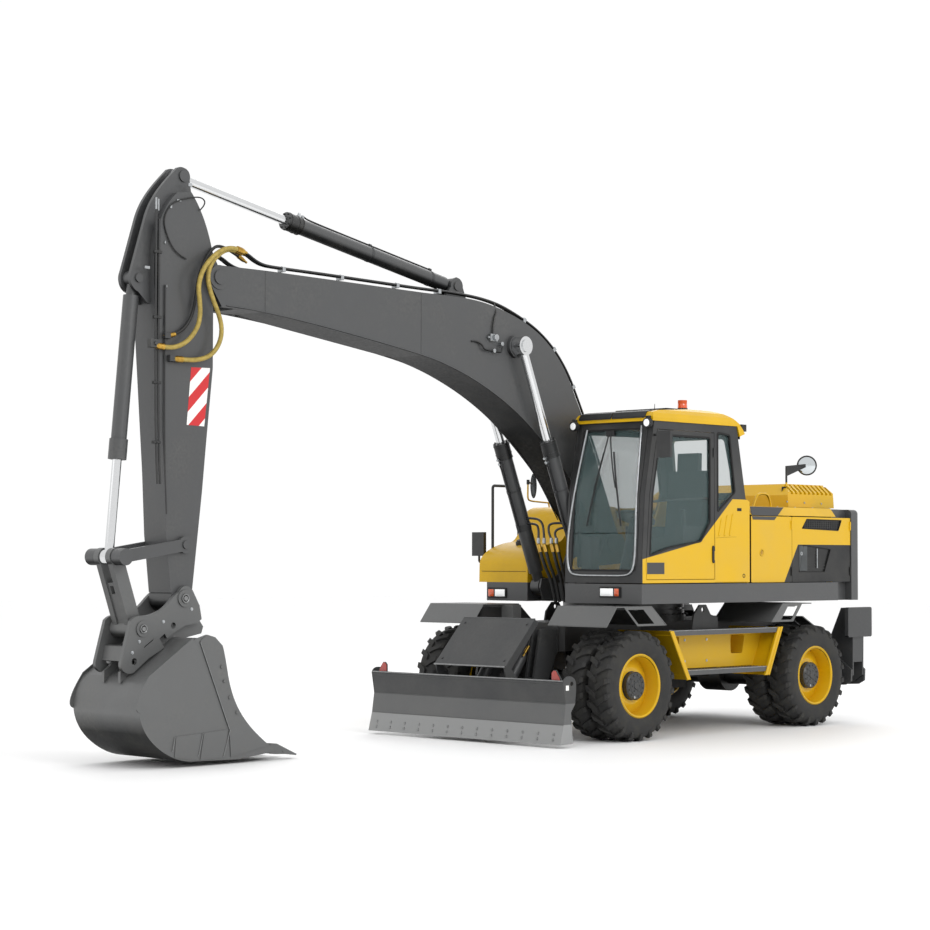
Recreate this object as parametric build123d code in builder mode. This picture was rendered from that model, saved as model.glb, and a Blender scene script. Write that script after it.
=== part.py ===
from build123d import *
import os
from math import atan2, cos, degrees, hypot, radians, sin, sqrt

os.makedirs("parts", exist_ok=True)

# Wheeled excavator, millimetres. +X runs forward to the boom, +Y to the cab's side, +Z up.
# The outlines below are drawn from the slewing axis on the ground; the last lines move
# every piece so that the row's origin is the middle of the machine's footprint box.

# ---- clearances
pin_gap = 0.05         # radial, a pin in its bore
side_gap = 6.0         # between an eye and the lug beside it
door_gap = 6.0         # round a door or lid
hinge_radius = 8.0
hinge_out = 6.0        # of a door's hinge line, from its outer face
seat_gap = 0.2         # between pieces of one body that lie face to face

# ---- undercarriage
front_axle_x = 1240.0
rear_axle_x = -1610.0
tyre_radius = 525.0
tyre_width = 276.0
twin_pitch = 306.0     # between the mid planes of the two tyres of a twin wheel
track_outer = 1270.0   # outer wall of the outer tyre, from the middle
rim_radius = 292.0
rim_wall = 14.0
hub_radius = 135.0
hub_face = 1205.0
spindle_radius = 60.0
kingpin_y = 785.0
kingpin_radius = 32.0
axle_tube_radius = 118.0
chassis_half = 370.0
chassis_low = 640.0
chassis_top = 1110.0
ring_outer = 620.0
ring_inner = 470.0
ring_top = 1292.0
tie_offset = 150.0     # of the tie rod behind the kingpins

# ---- upper structure
deck_low = 1300.0
deck_top = 1490.0
half_width = 1240.0
tail_radius = 2740.0
skin = 30.0
cab_inner_y = 265.0
cab_front = 1200.0
cab_rear = -500.0
cab_wall = 45.0
box_inner_y = -560.0
box_front = 850.0
hood_front = -545.0
hood_rear = -2300.0
hood_top = 2270.0

# ---- working gear, all on its own middle plane
gear_y = -150.0
boom_foot = (250.0, 1900.0)
boom_nose = (5442.0, 4139.0)
boom_half = 215.0
boom_plate = 14.0
boom_rod_pin = (1720.0, 3800.0)
boom_barrel_pin = (760.0, 1450.0)
boom_cylinder_dy = 316.0
arm_barrel_pin = (2400.0, 4344.0)
arm_rod_pin = (5735.0, 4990.0)
arm_half = 150.0
arm_plate = 12.0
bucket_pin = (5778.0, 1392.0)
bucket_barrel_pin = (6205.0, 4075.0)
rocker_pin = (5764.0, 1843.0)
link_pin = (6425.0, 1740.0)
coupler_pin = (6218.0, 1144.0)
bucket_half = 450.0


# ---- shape helpers: each adds to the part that is being built
def prism(points, plane, depth, mode=Mode.ADD, rounding=0.0):
    with BuildSketch(plane) as outline:
        with BuildLine():
            Polyline(*points, close=True)
        make_face()
        if rounding:
            fillet(outline.vertices(), rounding)
    extrude(outline.sketch, amount=depth, mode=mode)


def side_plate(points, low_y, high_y, mode=Mode.ADD, rounding=0.0):
    # an outline in X and Z, thick from low_y to high_y
    prism(points, Plane.XZ.offset(-high_y), high_y - low_y, mode, rounding)


def smooth_plate(steps, low_y, high_y, mode=Mode.ADD):
    # an outline in X and Z whose steps are corners, or lists of points that one smooth curve runs through
    with BuildSketch(Plane.XZ.offset(-high_y)) as outline:
        with BuildLine():
            first = here = steps[0]
            for step in steps[1:] + [first]:
                if isinstance(step, list):
                    Spline(here, *step)
                    here = step[-1]
                else:
                    Line(here, step)
                    here = step
        make_face()
    extrude(outline.sketch, amount=high_y - low_y, mode=mode)


def deck_plate(points, low_z, high_z, mode=Mode.ADD, rounding=0.0):
    # an outline in X and Y, thick from low_z to high_z
    prism(points, Plane.XY.offset(low_z), high_z - low_z, mode, rounding)


def cross_plate(points, low_x, high_x, mode=Mode.ADD, rounding=0.0):
    # an outline in Y and Z, thick from low_x to high_x
    prism(points, Plane.YZ.offset(low_x), high_x - low_x, mode, rounding)


def block(x_span, y_span, z_span, mode=Mode.ADD):
    corners = [(x_span[0], y_span[0]), (x_span[1], y_span[0]), (x_span[1], y_span[1]), (x_span[0], y_span[1])]
    deck_plate(corners, z_span[0], z_span[1], mode)


def pin_along_y(centre, radius, low_y, high_y, mode=Mode.ADD):
    with BuildSketch(Plane.XZ.offset(-high_y)) as outline:
        with Locations(centre):
            Circle(radius)
    extrude(outline.sketch, amount=high_y - low_y, mode=mode)


def rod_between(start, end, radius, mode=Mode.ADD):
    run = Vector(*end) - Vector(*start)
    with BuildSketch(Plane(origin=start, z_dir=run)) as outline:
        Circle(radius)
    extrude(outline.sketch, amount=run.length, mode=mode)


def bent_rod(points, radius, bend):
    # round bar or pipe along a bent line
    with BuildLine() as path:
        FilletPolyline(*points, radius=bend)
    wire = path.wires()[0]
    with BuildSketch(Plane(origin=wire @ 0, z_dir=wire % 0)) as section:
        Circle(radius)
    sweep(section.sketch, path=wire)


def mirrored(points, side):
    # the same outline in Y on the left (side 1) or the right (side -1)
    return [(side * y, z) for y, z in points]


def span(first, second, side):
    # a Y span on the left (side 1) or the right (side -1)
    return (min(side * first, side * second), max(side * first, side * second))


def along(start, end, distance):
    # the point at a distance from start towards end, in X and Z
    length = hypot(end[0] - start[0], end[1] - start[1])
    share = distance / length
    return (start[0] + share * (end[0] - start[0]), start[1] + share * (end[1] - start[1]))


def distance_between(start, end):
    return hypot(end[0] - start[0], end[1] - start[1])


# =====================================================================================
# Undercarriage
# =====================================================================================
nose_x = 1440.0
tail_x = -2060.0
side_box_half = 1000.0
side_box_z = (650.0, 985.0)
axle_seat_z = 830.0
plate_thickness = 14.0
step_outer = half_width - 25
# outer face of the two sloped end plates that carry the steps: top and bottom in X and Z
step_front = ((755.0, 1035.0), (490.0, 556.0))
step_rear = ((-1058.0, 1040.0), (-829.0, 557.0))


def slope_x(line, z, inset):
    # X of a sloped end plate at a height, moved in towards the middle of the machine
    (top_x, top_z), (low_x, low_z) = line
    x = low_x + (top_x - low_x) * (z - low_z) / (top_z - low_z)
    return x - inset if low_x > 0 else x + inset


with BuildPart() as chassis_frame:
    # the main box beam runs over both axles and widens under the slewing ring
    beam = [
        (nose_x, 250), (nose_x - 120, chassis_half), (720, chassis_half), (420, 560), (-420, 560),
        (-760, chassis_half), (tail_x, chassis_half),
    ]
    deck_plate(beam + [(x, -y) for x, y in reversed(beam)], chassis_low + 120, chassis_top)
    # raised over each axle
    for axle_x in (front_axle_x, rear_axle_x):
        block((axle_x - 230, axle_x + 230), (-600, 600), (chassis_low, axle_seat_z), Mode.SUBTRACT)
    # the belly between the axles, with the tool boxes out to each side
    block((-1000, 700), (-chassis_half, chassis_half), (chassis_low, chassis_low + 200))
    boxes = [(slope_x(line, z, plate_thickness), z) for line, z in
             ((step_front, side_box_z[0]), (step_front, side_box_z[1]), (step_rear, side_box_z[1]), (step_rear, side_box_z[0]))]
    side_plate(boxes, -side_box_half, side_box_half)
    for side in (1, -1):
        # a rounded trapezoid hand hole at each end of a tool box
        for hole in ([(340, 778), (538, 778), (576, 968), (340, 968)], [(-687, 778), (-498, 778), (-488, 968), (-727, 968)]):
            side_plate(hole, *span(side_box_half - 160, side_box_half + 1, side), Mode.SUBTRACT, 22)
        # lifting eye on the box's outer edge
        eye = [(-300, side_box_z[1] - 10), (-285, 1150), (-174, 1176), (-100, 1276), (0, 1276), (96, 1178), (140, side_box_z[1] - 10)]
        side_plate(eye, *span(side_box_half - 22, side_box_half - 2, side))
        pin_along_y((-48, 1228), 24, *span(side_box_half - 25, side_box_half, side), Mode.SUBTRACT)
    # the ring's seat
    with BuildSketch(Plane.XY.offset(chassis_top - 10)):
        Circle(ring_outer + 10)
    extrude(amount=70)
    with BuildSketch(Plane.XY.offset(chassis_low - 5)):
        Circle(ring_inner - 90)
    extrude(amount=chassis_top - chassis_low + 200, mode=Mode.SUBTRACT)
chassis_frame.part.label = "chassis_frame"

seat_top = chassis_top + 60
with BuildPart() as slew_ring:
    with BuildSketch(Plane.XY.offset(seat_top)):
        Circle(ring_outer)
        Circle(ring_inner, mode=Mode.SUBTRACT)
    extrude(amount=ring_top - seat_top)
    # the waist between the outer and the inner race
    with BuildSketch(Plane.XY.offset(seat_top + 50)):
        Circle(ring_outer + 1)
        Circle(ring_outer - 25, mode=Mode.SUBTRACT)
    extrude(amount=22, mode=Mode.SUBTRACT)
slew_ring.part.label = "slew_ring"

yoke_z = (150.0, 205.0)   # the yoke arms, above and below the axle's middle
wheel_z = tyre_radius
with BuildPart() as front_axle:
    pin_along_y((front_axle_x, wheel_z), axle_tube_radius, -600, 600)
    pin_along_y((front_axle_x, wheel_z), 205, -150, 150)
    for side in (1, -1):
        block((front_axle_x - 75, front_axle_x + 75), span(560, 620, side), (wheel_z - yoke_z[1], wheel_z + yoke_z[1]))
        for low in (yoke_z[0], -yoke_z[1]):
            with BuildSketch(Plane.XY.offset(wheel_z + low)) as arm_outline:
                with Locations((front_axle_x, side * 690)):
                    Rectangle(130, 190)
                with Locations((front_axle_x, side * kingpin_y)):
                    Circle(65)
                    Circle(kingpin_radius + pin_gap, mode=Mode.SUBTRACT)
            extrude(arm_outline.sketch, amount=yoke_z[1] - yoke_z[0])
    # the cradle that carries the axle under the chassis beam
    block((front_axle_x - 90, front_axle_x + 90), (-230, 230), (wheel_z + 100, axle_seat_z))
front_axle.part.label = "front_axle"

with BuildPart() as rear_axle:
    pin_along_y((rear_axle_x, wheel_z), axle_tube_radius + 12, -640, 640)
    pin_along_y((rear_axle_x, wheel_z), 205, -150, 150)
    for side in (1, -1):
        pin_along_y((rear_axle_x, wheel_z), 150, *span(620, 720, side))
        pin_along_y((rear_axle_x, wheel_z), spindle_radius, *span(600, hub_face - 60, side))
        block((rear_axle_x - 110, rear_axle_x + 110), span(200, 360, side), (wheel_z + 90, axle_seat_z))
rear_axle.part.label = "rear_axle"

gear_case_x = -620.0
with BuildPart() as drive_line:
    block((gear_case_x - 190, gear_case_x + 190), (-170, 170), (390, chassis_low))
    rod_between((gear_case_x + 190, 0, wheel_z), (front_axle_x - 205, 0, wheel_z), 42)
    rod_between((gear_case_x - 190, 0, wheel_z), (rear_axle_x + 205, 0, wheel_z), 42)
drive_line.part.label = "drive_line"

# the boarding steps: sloped end plates with a rolled edge, and two channel treads between them
with BuildPart() as side_steps:
    for side in (1, -1):
        for line in (step_front, step_rear):
            (top_x, top_z), (low_x, low_z) = line
            for inset, inner, outer in ((plate_thickness, 560, step_outer), (4 * plate_thickness, step_outer - 12, step_outer + 12)):
                slope = [line[0], line[1], (slope_x(line, low_z, inset), low_z), (slope_x(line, top_z, inset), top_z)]
                side_plate(slope, *span(inner, outer, side))
        # treads: name, front end, rear end, top
        for front_x, back_x, top_z in ((733, -1045, 1030), (515, -845, 640)):
            block((back_x, front_x), span(step_outer - 190, step_outer - 2, side), (top_z - 40, top_z))
side_steps.part.label = "side_steps"

fender_z = 1280.0
fender_inner = 495.0
with BuildPart() as fenders:
    for side in (1, -1):
        # outer edge of the bent plate: front fender, then rear fender
        for line in (
            [(1712, 1098), (1565, fender_z), (1050, fender_z), (828, 1098)],
            [(-866, 1098), (-1058, fender_z), (-1560, fender_z)],
        ):
            low_line = [(x, z - 10) for x, z in reversed(line)]
            side_plate(line + low_line, *span(fender_inner, half_width, side))
        # folded gusset under the outer edge, with its window
        for outline, window in (
            ([(1465, 1275), (1262, 1092), (838, 1092), (1050, 1275)], [(1405, 1250), (1176, 1250), (1012, 1112), (1250, 1112)]),
            ([(-875, 1092), (-1240, 1092), (-1400, 1275), (-1058, 1275)], [(-1030, 1112), (-1212, 1112), (-1330, 1250), (-1150, 1250)]),
        ):
            side_plate(outline, *span(half_width - 10, half_width - 1, side))
            side_plate(window, *span(half_width - 12, half_width + 1, side), Mode.SUBTRACT)
        # posts that carry each fender, and the strut that braces it
        for post_x in (1210, -1330):
            block((post_x - 60, post_x + 60), span(chassis_half, fender_inner + 30, side), (chassis_top - 40, fender_z - 10))
            block((post_x - 25, post_x + 25), span(fender_inner, half_width - 60, side), (fender_z - 38, fender_z - 9))
fenders.part.label = "fenders"

# ---- steering knuckles, one each side, and the tie rod between their arms
knuckle_arm_z = (-12.0, 22.0)
tie_rod_z = (-52.0, -16.0)


def knuckle(side):
    with BuildPart() as body:
        with BuildSketch(Plane.XY.offset(wheel_z - yoke_z[1] - 6)) as pin_outline:
            with Locations((front_axle_x, side * kingpin_y)):
                Circle(kingpin_radius)
        extrude(pin_outline.sketch, amount=2 * yoke_z[1] + 12)
        with BuildSketch(Plane.XY.offset(wheel_z - yoke_z[0] + side_gap)) as hub_outline:
            with Locations((front_axle_x, side * kingpin_y)):
                Circle(78)
        extrude(hub_outline.sketch, amount=2 * (yoke_z[0] - side_gap))
        pin_along_y((front_axle_x, wheel_z), 120, *span(kingpin_y + 20, kingpin_y + 90, side))
        pin_along_y((front_axle_x, wheel_z), spindle_radius, *span(kingpin_y, hub_face - 60, side))
        arm = [
            (front_axle_x - 40, side * (kingpin_y - 30)), (front_axle_x - tie_offset - 24, side * (kingpin_y - 30)),
            (front_axle_x - tie_offset - 24, side * (kingpin_y + 30)), (front_axle_x - 40, side * (kingpin_y + 30)),
        ]
        deck_plate(arm, wheel_z + knuckle_arm_z[0], wheel_z + knuckle_arm_z[1])
    return body


knuckle_left = knuckle(1)
knuckle_left.part.label = "knuckle_left"
knuckle_right = knuckle(-1)
knuckle_right.part.label = "knuckle_right"

with BuildPart() as tie_rod:
    tie_x = front_axle_x - tie_offset
    tie_mid = wheel_z + sum(tie_rod_z) / 2
    # bowed rearwards round the differential and down under the shaft
    half = [(tie_x - 95, 330, tie_mid - 55), (tie_x, 520, tie_mid), (tie_x, kingpin_y, tie_mid)]
    other_half = [(x, -y, z) for x, y, z in reversed(half)]
    bent_rod(other_half + half, 16, 60)
    for side in (1, -1):
        with BuildSketch(Plane.XY.offset(wheel_z + tie_rod_z[0])) as eye_outline:
            with Locations((tie_x, side * kingpin_y)):
                Circle(28)
        extrude(eye_outline.sketch, amount=tie_rod_z[1] - tie_rod_z[0])
tie_rod.part.label = "tie_rod"

# ---- twin wheels
tyre_half = tyre_width / 2
outer_tyre_y = track_outer - tyre_half
inner_tyre_y = outer_tyre_y - twin_pitch
lug_count = 24
lug_height = 22.0
facet = 360 / lug_count


def tyre_slice(y, radius):
    # many-sided section of the casing, one flat below the axle
    plane = Plane(origin=(0, y, 0), x_dir=(0, 0, -1), z_dir=(0, 1, 0))
    with BuildSketch(plane) as outline:
        RegularPolygon(radius, lug_count, major_radius=False, rotation=facet / 2)
    return outline.sketch.face()


with BuildPart() as tyre:
    # casing with square shoulders, then one chevron lug on each flat, left and right in turn
    tread_radius = tyre_radius - lug_height
    walls = [(-tyre_half, tread_radius - 44), (-tyre_half + 16, tread_radius), (tyre_half - 16, tread_radius),
             (tyre_half, tread_radius - 44)]
    loft([tyre_slice(y, r) for y, r in walls], ruled=True)
    extrude(tyre_slice(-tyre_half - 1, rim_radius + 1), amount=tyre_width + 2, mode=Mode.SUBTRACT)
    for index in range(lug_count):
        hand = 1 if index % 2 == 0 else -1
        turn = radians(index * facet)
        out = Vector(sin(turn), 0, -cos(turn))
        with BuildSketch(Plane(origin=out * (tread_radius - 30), x_dir=(0, 1, 0), z_dir=out)) as lug:
            with BuildLine():
                Polyline((-hand * 6, 34), (-hand * 6, -12), (hand * (tyre_half - 18), -50), (hand * (tyre_half - 18), 2), close=True)
            make_face()
        extrude(lug.sketch, amount=lug_height + 30)


def ring_about_y(section, x, mode=Mode.ADD):
    # turns a section of (y, radius) points about a wheel's axle
    plane = Plane(origin=(x, 0, wheel_z), x_dir=(0, 1, 0), z_dir=(1, 0, 0))
    with BuildSketch(plane) as outline:
        with BuildLine():
            Polyline(*section, close=True)
        make_face()
    revolve(outline.sketch, axis=Axis((x, 0, wheel_z), (0, 1, 0)), mode=mode)


def twin_tyres(x, side):
    with BuildPart() as body:
        with Locations(Location((x, side * outer_tyre_y, wheel_z)), Location((x, side * inner_tyre_y, wheel_z), (0, 0, 180))):
            add(tyre.part)
    return body


def twin_rim(x, side):
    inner_edge = inner_tyre_y - tyre_half + 25
    outer_edge = outer_tyre_y + tyre_half - 28
    disc_y = outer_tyre_y - 60
    with BuildPart() as body:
        barrel = [(inner_edge, rim_radius), (outer_edge, rim_radius), (outer_edge, rim_radius - rim_wall),
                  (inner_edge, rim_radius - rim_wall)]
        ring_about_y([(side * y, r) for y, r in barrel], x)
        # the dished disc and the planetary hub, bored for the spindle
        dish = [(disc_y, rim_radius - 2), (disc_y + 16, rim_radius - 2), (disc_y + 70, hub_radius + 40),
                (disc_y + 70, hub_radius - 5), (hub_face - 12, hub_radius), (hub_face, hub_radius - 14),
                (hub_face, 0), (hub_face - 55, 0), (hub_face - 55, spindle_radius + pin_gap),
                (disc_y - 60, spindle_radius + pin_gap), (disc_y - 60, hub_radius), (disc_y + 45, hub_radius + 30)]
        ring_about_y([(side * y, r) for y, r in dish], x)
    return body


wheels = {}
for place, x in (("front", front_axle_x), ("rear", rear_axle_x)):
    for hand, side in (("left", 1), ("right", -1)):
        wheels[f"tyres_{place}_{hand}"] = twin_tyres(x, side)
        wheels[f"rim_{place}_{hand}"] = twin_rim(x, side)

# =====================================================================================
# Dozer blade at the front
# =====================================================================================
blade_pin = (1700.0, 520.0)
blade_barrel_pin = (1600.0, 985.0)
blade_rod_pin = (2085.0, 330.0)
blade_half = 1262.0
blade_arm_y = 330.0
blade_cylinder_y = 190.0
blade_low_z = 32.0
blade_top_z = 598.0
blade_front_x = 2385.0
cover_half = 470.0
cover_line = [(1866, 1157), (2281, 714)]

with BuildPart() as blade_mount:
    # cheeks bolted to the beam's nose, outside the lift arms' eyes
    for side in (1, -1):
        for low, high in ((blade_arm_y - 62, blade_arm_y - 36), (blade_arm_y + 36, blade_arm_y + 62)):
            cheek = [(nose_x, 1050), (1700, 1050), (1790, 600), (1780, 470), (1640, 440), (nose_x, 880)]
            side_plate(cheek, *span(low, high, side))
        # lift arm's pin, then the lift cylinder's pin with its lugs
        pin_along_y(blade_pin, 35, *span(blade_arm_y - 62, blade_arm_y + 62, side))
        pin_along_y(blade_barrel_pin, 25, *span(blade_cylinder_y - 60, blade_cylinder_y + 60, side))
        for low, high in ((blade_cylinder_y - 62, blade_cylinder_y - 42), (blade_cylinder_y + 42, blade_cylinder_y + 62)):
            lug = [(nose_x, 1050), (1640, 1050), (1655, 950), (1620, 930), (nose_x, 900)]
            side_plate(lug, *span(low, high, side))
    block((nose_x, nose_x + 22), (-400, 400), (axle_seat_z, 1100))
blade_mount.part.label = "blade_mount"

with BuildPart() as blade:
    # mould board folded in three flats, a rolled top lip and a cutting edge bolted on below
    board = [(blade_front_x + 15, blade_low_z), (blade_front_x - 33, 215), (blade_front_x - 60, 405), (blade_front_x - 30, blade_top_z)]
    board_back = [(x - 42, z) for x, z in reversed(board)]
    side_plate(board + board_back, -blade_half, blade_half)
    pin_along_y((blade_front_x - 44, blade_top_z - 6), 17, -blade_half, blade_half)
    end_outline = [board[0], board[1], board[2], (blade_front_x - 25, blade_top_z + 8),
                   [(blade_front_x - 52, blade_top_z + 44), (blade_front_x - 100, blade_top_z + 58), (blade_front_x - 168, blade_top_z + 42),
                    (blade_front_x - 204, blade_top_z - 24)],
                   (blade_front_x - 204, 518), (blade_front_x - 190, 400), (blade_front_x - 134, 326), (blade_front_x - 160, blade_low_z + 6)]
    for side in (1, -1):
        smooth_plate(end_outline, *span(blade_half, blade_half + 8, side))
        pin_along_y((blade_front_x - 144, blade_top_z - 12), 21, *span(blade_half - 1, blade_half + 9, side), Mode.SUBTRACT)
        # teardrop bracket of the side marker, standing on the top edge
        marker = [(side * 1090, blade_top_z - 10), (side * 1092, blade_top_z + 88), (side * 1116, blade_top_z + 112),
                  (side * 1146, blade_top_z + 112), (side * 1225, blade_top_z + 10), (side * 1225, blade_top_z - 10)]
        cross_plate(marker, blade_front_x - 76, blade_front_x - 66)
    # box beam behind the board
    beam = [(blade_front_x - 80, 575), (blade_front_x - 150, 575), (2155, 470), (2155, 170), (blade_front_x - 110, 110)]
    side_plate(beam, -560, 560)
    # lift arms from the beam back to their pins
    for side in (1, -1):
        low, high = span(blade_arm_y - 30, blade_arm_y + 30, side)
        side_plate([(2230, 500), (1760, 590), (1640, 560), (1640, 480), (1760, 440), (2230, 200)], low, high)
        pin_along_y(blade_pin, 75, low, high)
        pin_along_y(blade_pin, 35 + pin_gap, low, high, Mode.SUBTRACT)
        # cover plate's side stays
        stay = [(2060, 560), (2230, 500), (2281, 714), (cover_line[0][0], cover_line[0][1]), (1800, 1120), (2180, 690)]
        side_plate(stay, *span(cover_half - 24, cover_half - 10, side))
    slope = [cover_line[0], cover_line[1], (cover_line[1][0] - 12, cover_line[1][1] - 12), (cover_line[0][0] - 12, cover_line[0][1] - 12)]
    side_plate(slope, -cover_half, cover_half)
    # the lift rods' lugs, capped on their outer faces
    for side in (1, -1):
        for low, high, cap in ((36, 56, 66), (-56, -36, -66)):
            y = side * blade_cylinder_y
            side_plate([(2160, 430), (2085, 385), (2035, 345), (2035, 300), (2085, 270), (2160, 240)], y + low, y + high)
            pin_along_y(blade_rod_pin, 34, *sorted((y + cap, y + (low + high) / 2)))
blade.part.label = "blade"

blade_length = distance_between(blade_barrel_pin, blade_rod_pin)
blade_gland = 560.0
with BuildPart() as blade_barrels:
    for side in (1, -1):
        y = side * blade_cylinder_y
        start = along(blade_barrel_pin, blade_rod_pin, 30)
        wide = along(blade_barrel_pin, blade_rod_pin, 95)
        end = along(blade_barrel_pin, blade_rod_pin, blade_gland)
        bore = along(blade_barrel_pin, blade_rod_pin, 110)
        pin_along_y(blade_barrel_pin, 45, y - 34, y + 34)
        rod_between((start[0], y, start[1]), (wide[0], y, wide[1]), 34)
        rod_between((wide[0], y, wide[1]), (end[0], y, end[1]), 55)
        pin_along_y(blade_barrel_pin, 25 + pin_gap, y - 40, y + 40, Mode.SUBTRACT)
        rod_between((bore[0], y, bore[1]), (end[0], y, end[1]), 27.5 + pin_gap, Mode.SUBTRACT)
blade_barrels.part.label = "blade_barrels"

blade_rod_start = 330.0    # the rod's inner end, from the barrel's pin
with BuildPart() as blade_rods:
    for side in (1, -1):
        y = side * blade_cylinder_y
        start = along(blade_barrel_pin, blade_rod_pin, blade_rod_start)
        rod_between((start[0], y, start[1]), (blade_rod_pin[0], y, blade_rod_pin[1]), 27.5)
        pin_along_y(blade_rod_pin, 40, y - 30, y + 30)
blade_rods.part.label = "blade_rods"

# =====================================================================================
# Stabilisers behind the rear axle
# =====================================================================================
leg_pin = (1060.0, 480.0)           # y and z of the leg's hinge, low on the outer side
leg_x = (-2510.0, -2310.0)
pad_x = (-2635.0, -2195.0)
leg_cylinder_x = -2410.0
leg_barrel_pin = (350.0, 985.0)
leg_rod_pin = (1034.0, 644.0)
leg_cheek_gap = 8.0


def pin_along_x(y, z, radius, low_x, high_x, mode=Mode.ADD):
    with BuildSketch(Plane.YZ.offset(low_x)) as outline:
        with Locations((y, z)):
            Circle(radius)
    extrude(outline.sketch, amount=high_x - low_x, mode=mode)


with BuildPart() as stabiliser_mount:
    # a box across the beam's tail, then two cheeks that reach out to each leg's hinge
    block((leg_x[1] - 1, tail_x), (-360, 360), (chassis_low + 120, chassis_top))
    for low, high in ((leg_x[0] - 34, leg_x[0] - leg_cheek_gap), (leg_x[1] + leg_cheek_gap, leg_x[1] + 34)):
        half = [(1160, 398), (1236, 440), (1240, 560), (1050, 705), (430, chassis_top)]
        foot = [(-y, z) for y, z in reversed(half)]
        cross_plate([(505, 470), (900, 384)] + half + foot + [(-900, 384), (-505, 470)], low, high)
    block((leg_x[0] - 34, leg_x[1] + 34), (-270, 270), (925, chassis_top))
    block((leg_x[0] - 34, leg_x[1] + 34), (-840, 840), (480, 500))
    for side in (1, -1):
        # the hinge is two stub pins, so that the rod can pass between them
        for low, high in ((leg_x[0] - 52, leg_x[0] + 16), (leg_x[1] - 16, leg_x[1] + 52)):
            pin_along_x(side * leg_pin[0], leg_pin[1], 35, low, high)
        pin_along_x(side * leg_barrel_pin[0], leg_barrel_pin[1], 25, leg_x[0] - 34, leg_x[1] + 34)
stabiliser_mount.part.label = "stabiliser_mount"


def stabiliser(side):
    with BuildPart() as body:
        # stowed upright: two side plates, closed outside and at the top, and the pad that faces outwards
        leg = [(985, 428), (1060, 402), (1135, 428), (1236, 500), (1240, 905), (1206, 1215), (1090, 1215), (940, 880), (905, 660), (940, 500)]
        for low, high in ((leg_x[0], leg_x[0] + 20), (leg_x[1] - 20, leg_x[1])):
            cross_plate(mirrored(leg, side), low, high)
        closing = [(1236, 640), (1240, 905), (1206, 1215), (1184, 1215), (1218, 905), (1214, 640)]
        cross_plate(mirrored(closing, side), leg_x[0] + 1, leg_x[1] - 1)
        end_web = [(1062, 1150), (1200, 1150), (1206, 1215), (1090, 1215)]
        cross_plate(mirrored(end_web, side), leg_x[0] + 1, leg_x[1] - 1)
        with BuildSketch(Plane.XZ.offset(-max(side * 1218, side * 1262))) as pad:
            with Locations(((pad_x[0] + pad_x[1]) / 2, 1064)):
                RectangleRounded(pad_x[1] - pad_x[0], 316, 24)
        extrude(pad.sketch, amount=44)
        pin_along_x(side * leg_pin[0], leg_pin[1], 35 + pin_gap, leg_x[0] - 1, leg_x[1] + 1, Mode.SUBTRACT)
        # bosses of the rod's cross pin
        for low, high in ((leg_x[0] + 18, leg_x[0] + 42), (leg_x[1] - 42, leg_x[1] - 18)):
            pin_along_x(side * leg_rod_pin[0], leg_rod_pin[1], 52, low, high)
    return body


stabiliser_left = stabiliser(1)
stabiliser_left.part.label = "stabiliser_left"
stabiliser_right = stabiliser(-1)
stabiliser_right.part.label = "stabiliser_right"

leg_gland = 640.0
leg_rod_start = 360.0


def leg_barrel(side):
    gland = along(leg_barrel_pin, leg_rod_pin, leg_gland)
    start = along(leg_barrel_pin, leg_rod_pin, 35)
    bore = along(leg_barrel_pin, leg_rod_pin, 80)
    with BuildPart() as body:
        pin_along_x(side * leg_barrel_pin[0], leg_barrel_pin[1], 42, leg_cylinder_x - 32, leg_cylinder_x + 32)
        rod_between((leg_cylinder_x, side * start[0], start[1]), (leg_cylinder_x, side * gland[0], gland[1]), 55)
        pin_along_x(side * leg_barrel_pin[0], leg_barrel_pin[1], 25 + pin_gap, leg_cylinder_x - 40, leg_cylinder_x + 40,
                    Mode.SUBTRACT)
        rod_between((leg_cylinder_x, side * bore[0], bore[1]), (leg_cylinder_x, side * gland[0], gland[1]),
                    27.5 + pin_gap, Mode.SUBTRACT)
    return body


def leg_rod(side):
    start = along(leg_barrel_pin, leg_rod_pin, leg_rod_start)
    with BuildPart() as body:
        rod_between((leg_cylinder_x, side * start[0], start[1]), (leg_cylinder_x, side * leg_rod_pin[0], leg_rod_pin[1]), 27.5)
        pin_along_x(side * leg_rod_pin[0], leg_rod_pin[1], 40, leg_cylinder_x - 30, leg_cylinder_x + 30)
    return body


leg_barrel_left = leg_barrel(1)
leg_barrel_left.part.label = "leg_barrel_left"
leg_barrel_right = leg_barrel(-1)
leg_barrel_right.part.label = "leg_barrel_right"
leg_rod_left = leg_rod(1)
leg_rod_left.part.label = "leg_rod_left"
leg_rod_right = leg_rod(-1)
leg_rod_right.part.label = "leg_rod_right"

# =====================================================================================
# Upper structure
# =====================================================================================
lug_inner = boom_half + 7      # boom foot lugs, from the gear's middle plane
lug_outer = lug_inner + 14
boom_pin_radius = 55.0
cylinder_pin_radius = 45.0
cylinder_eye_half = 55.0

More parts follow.
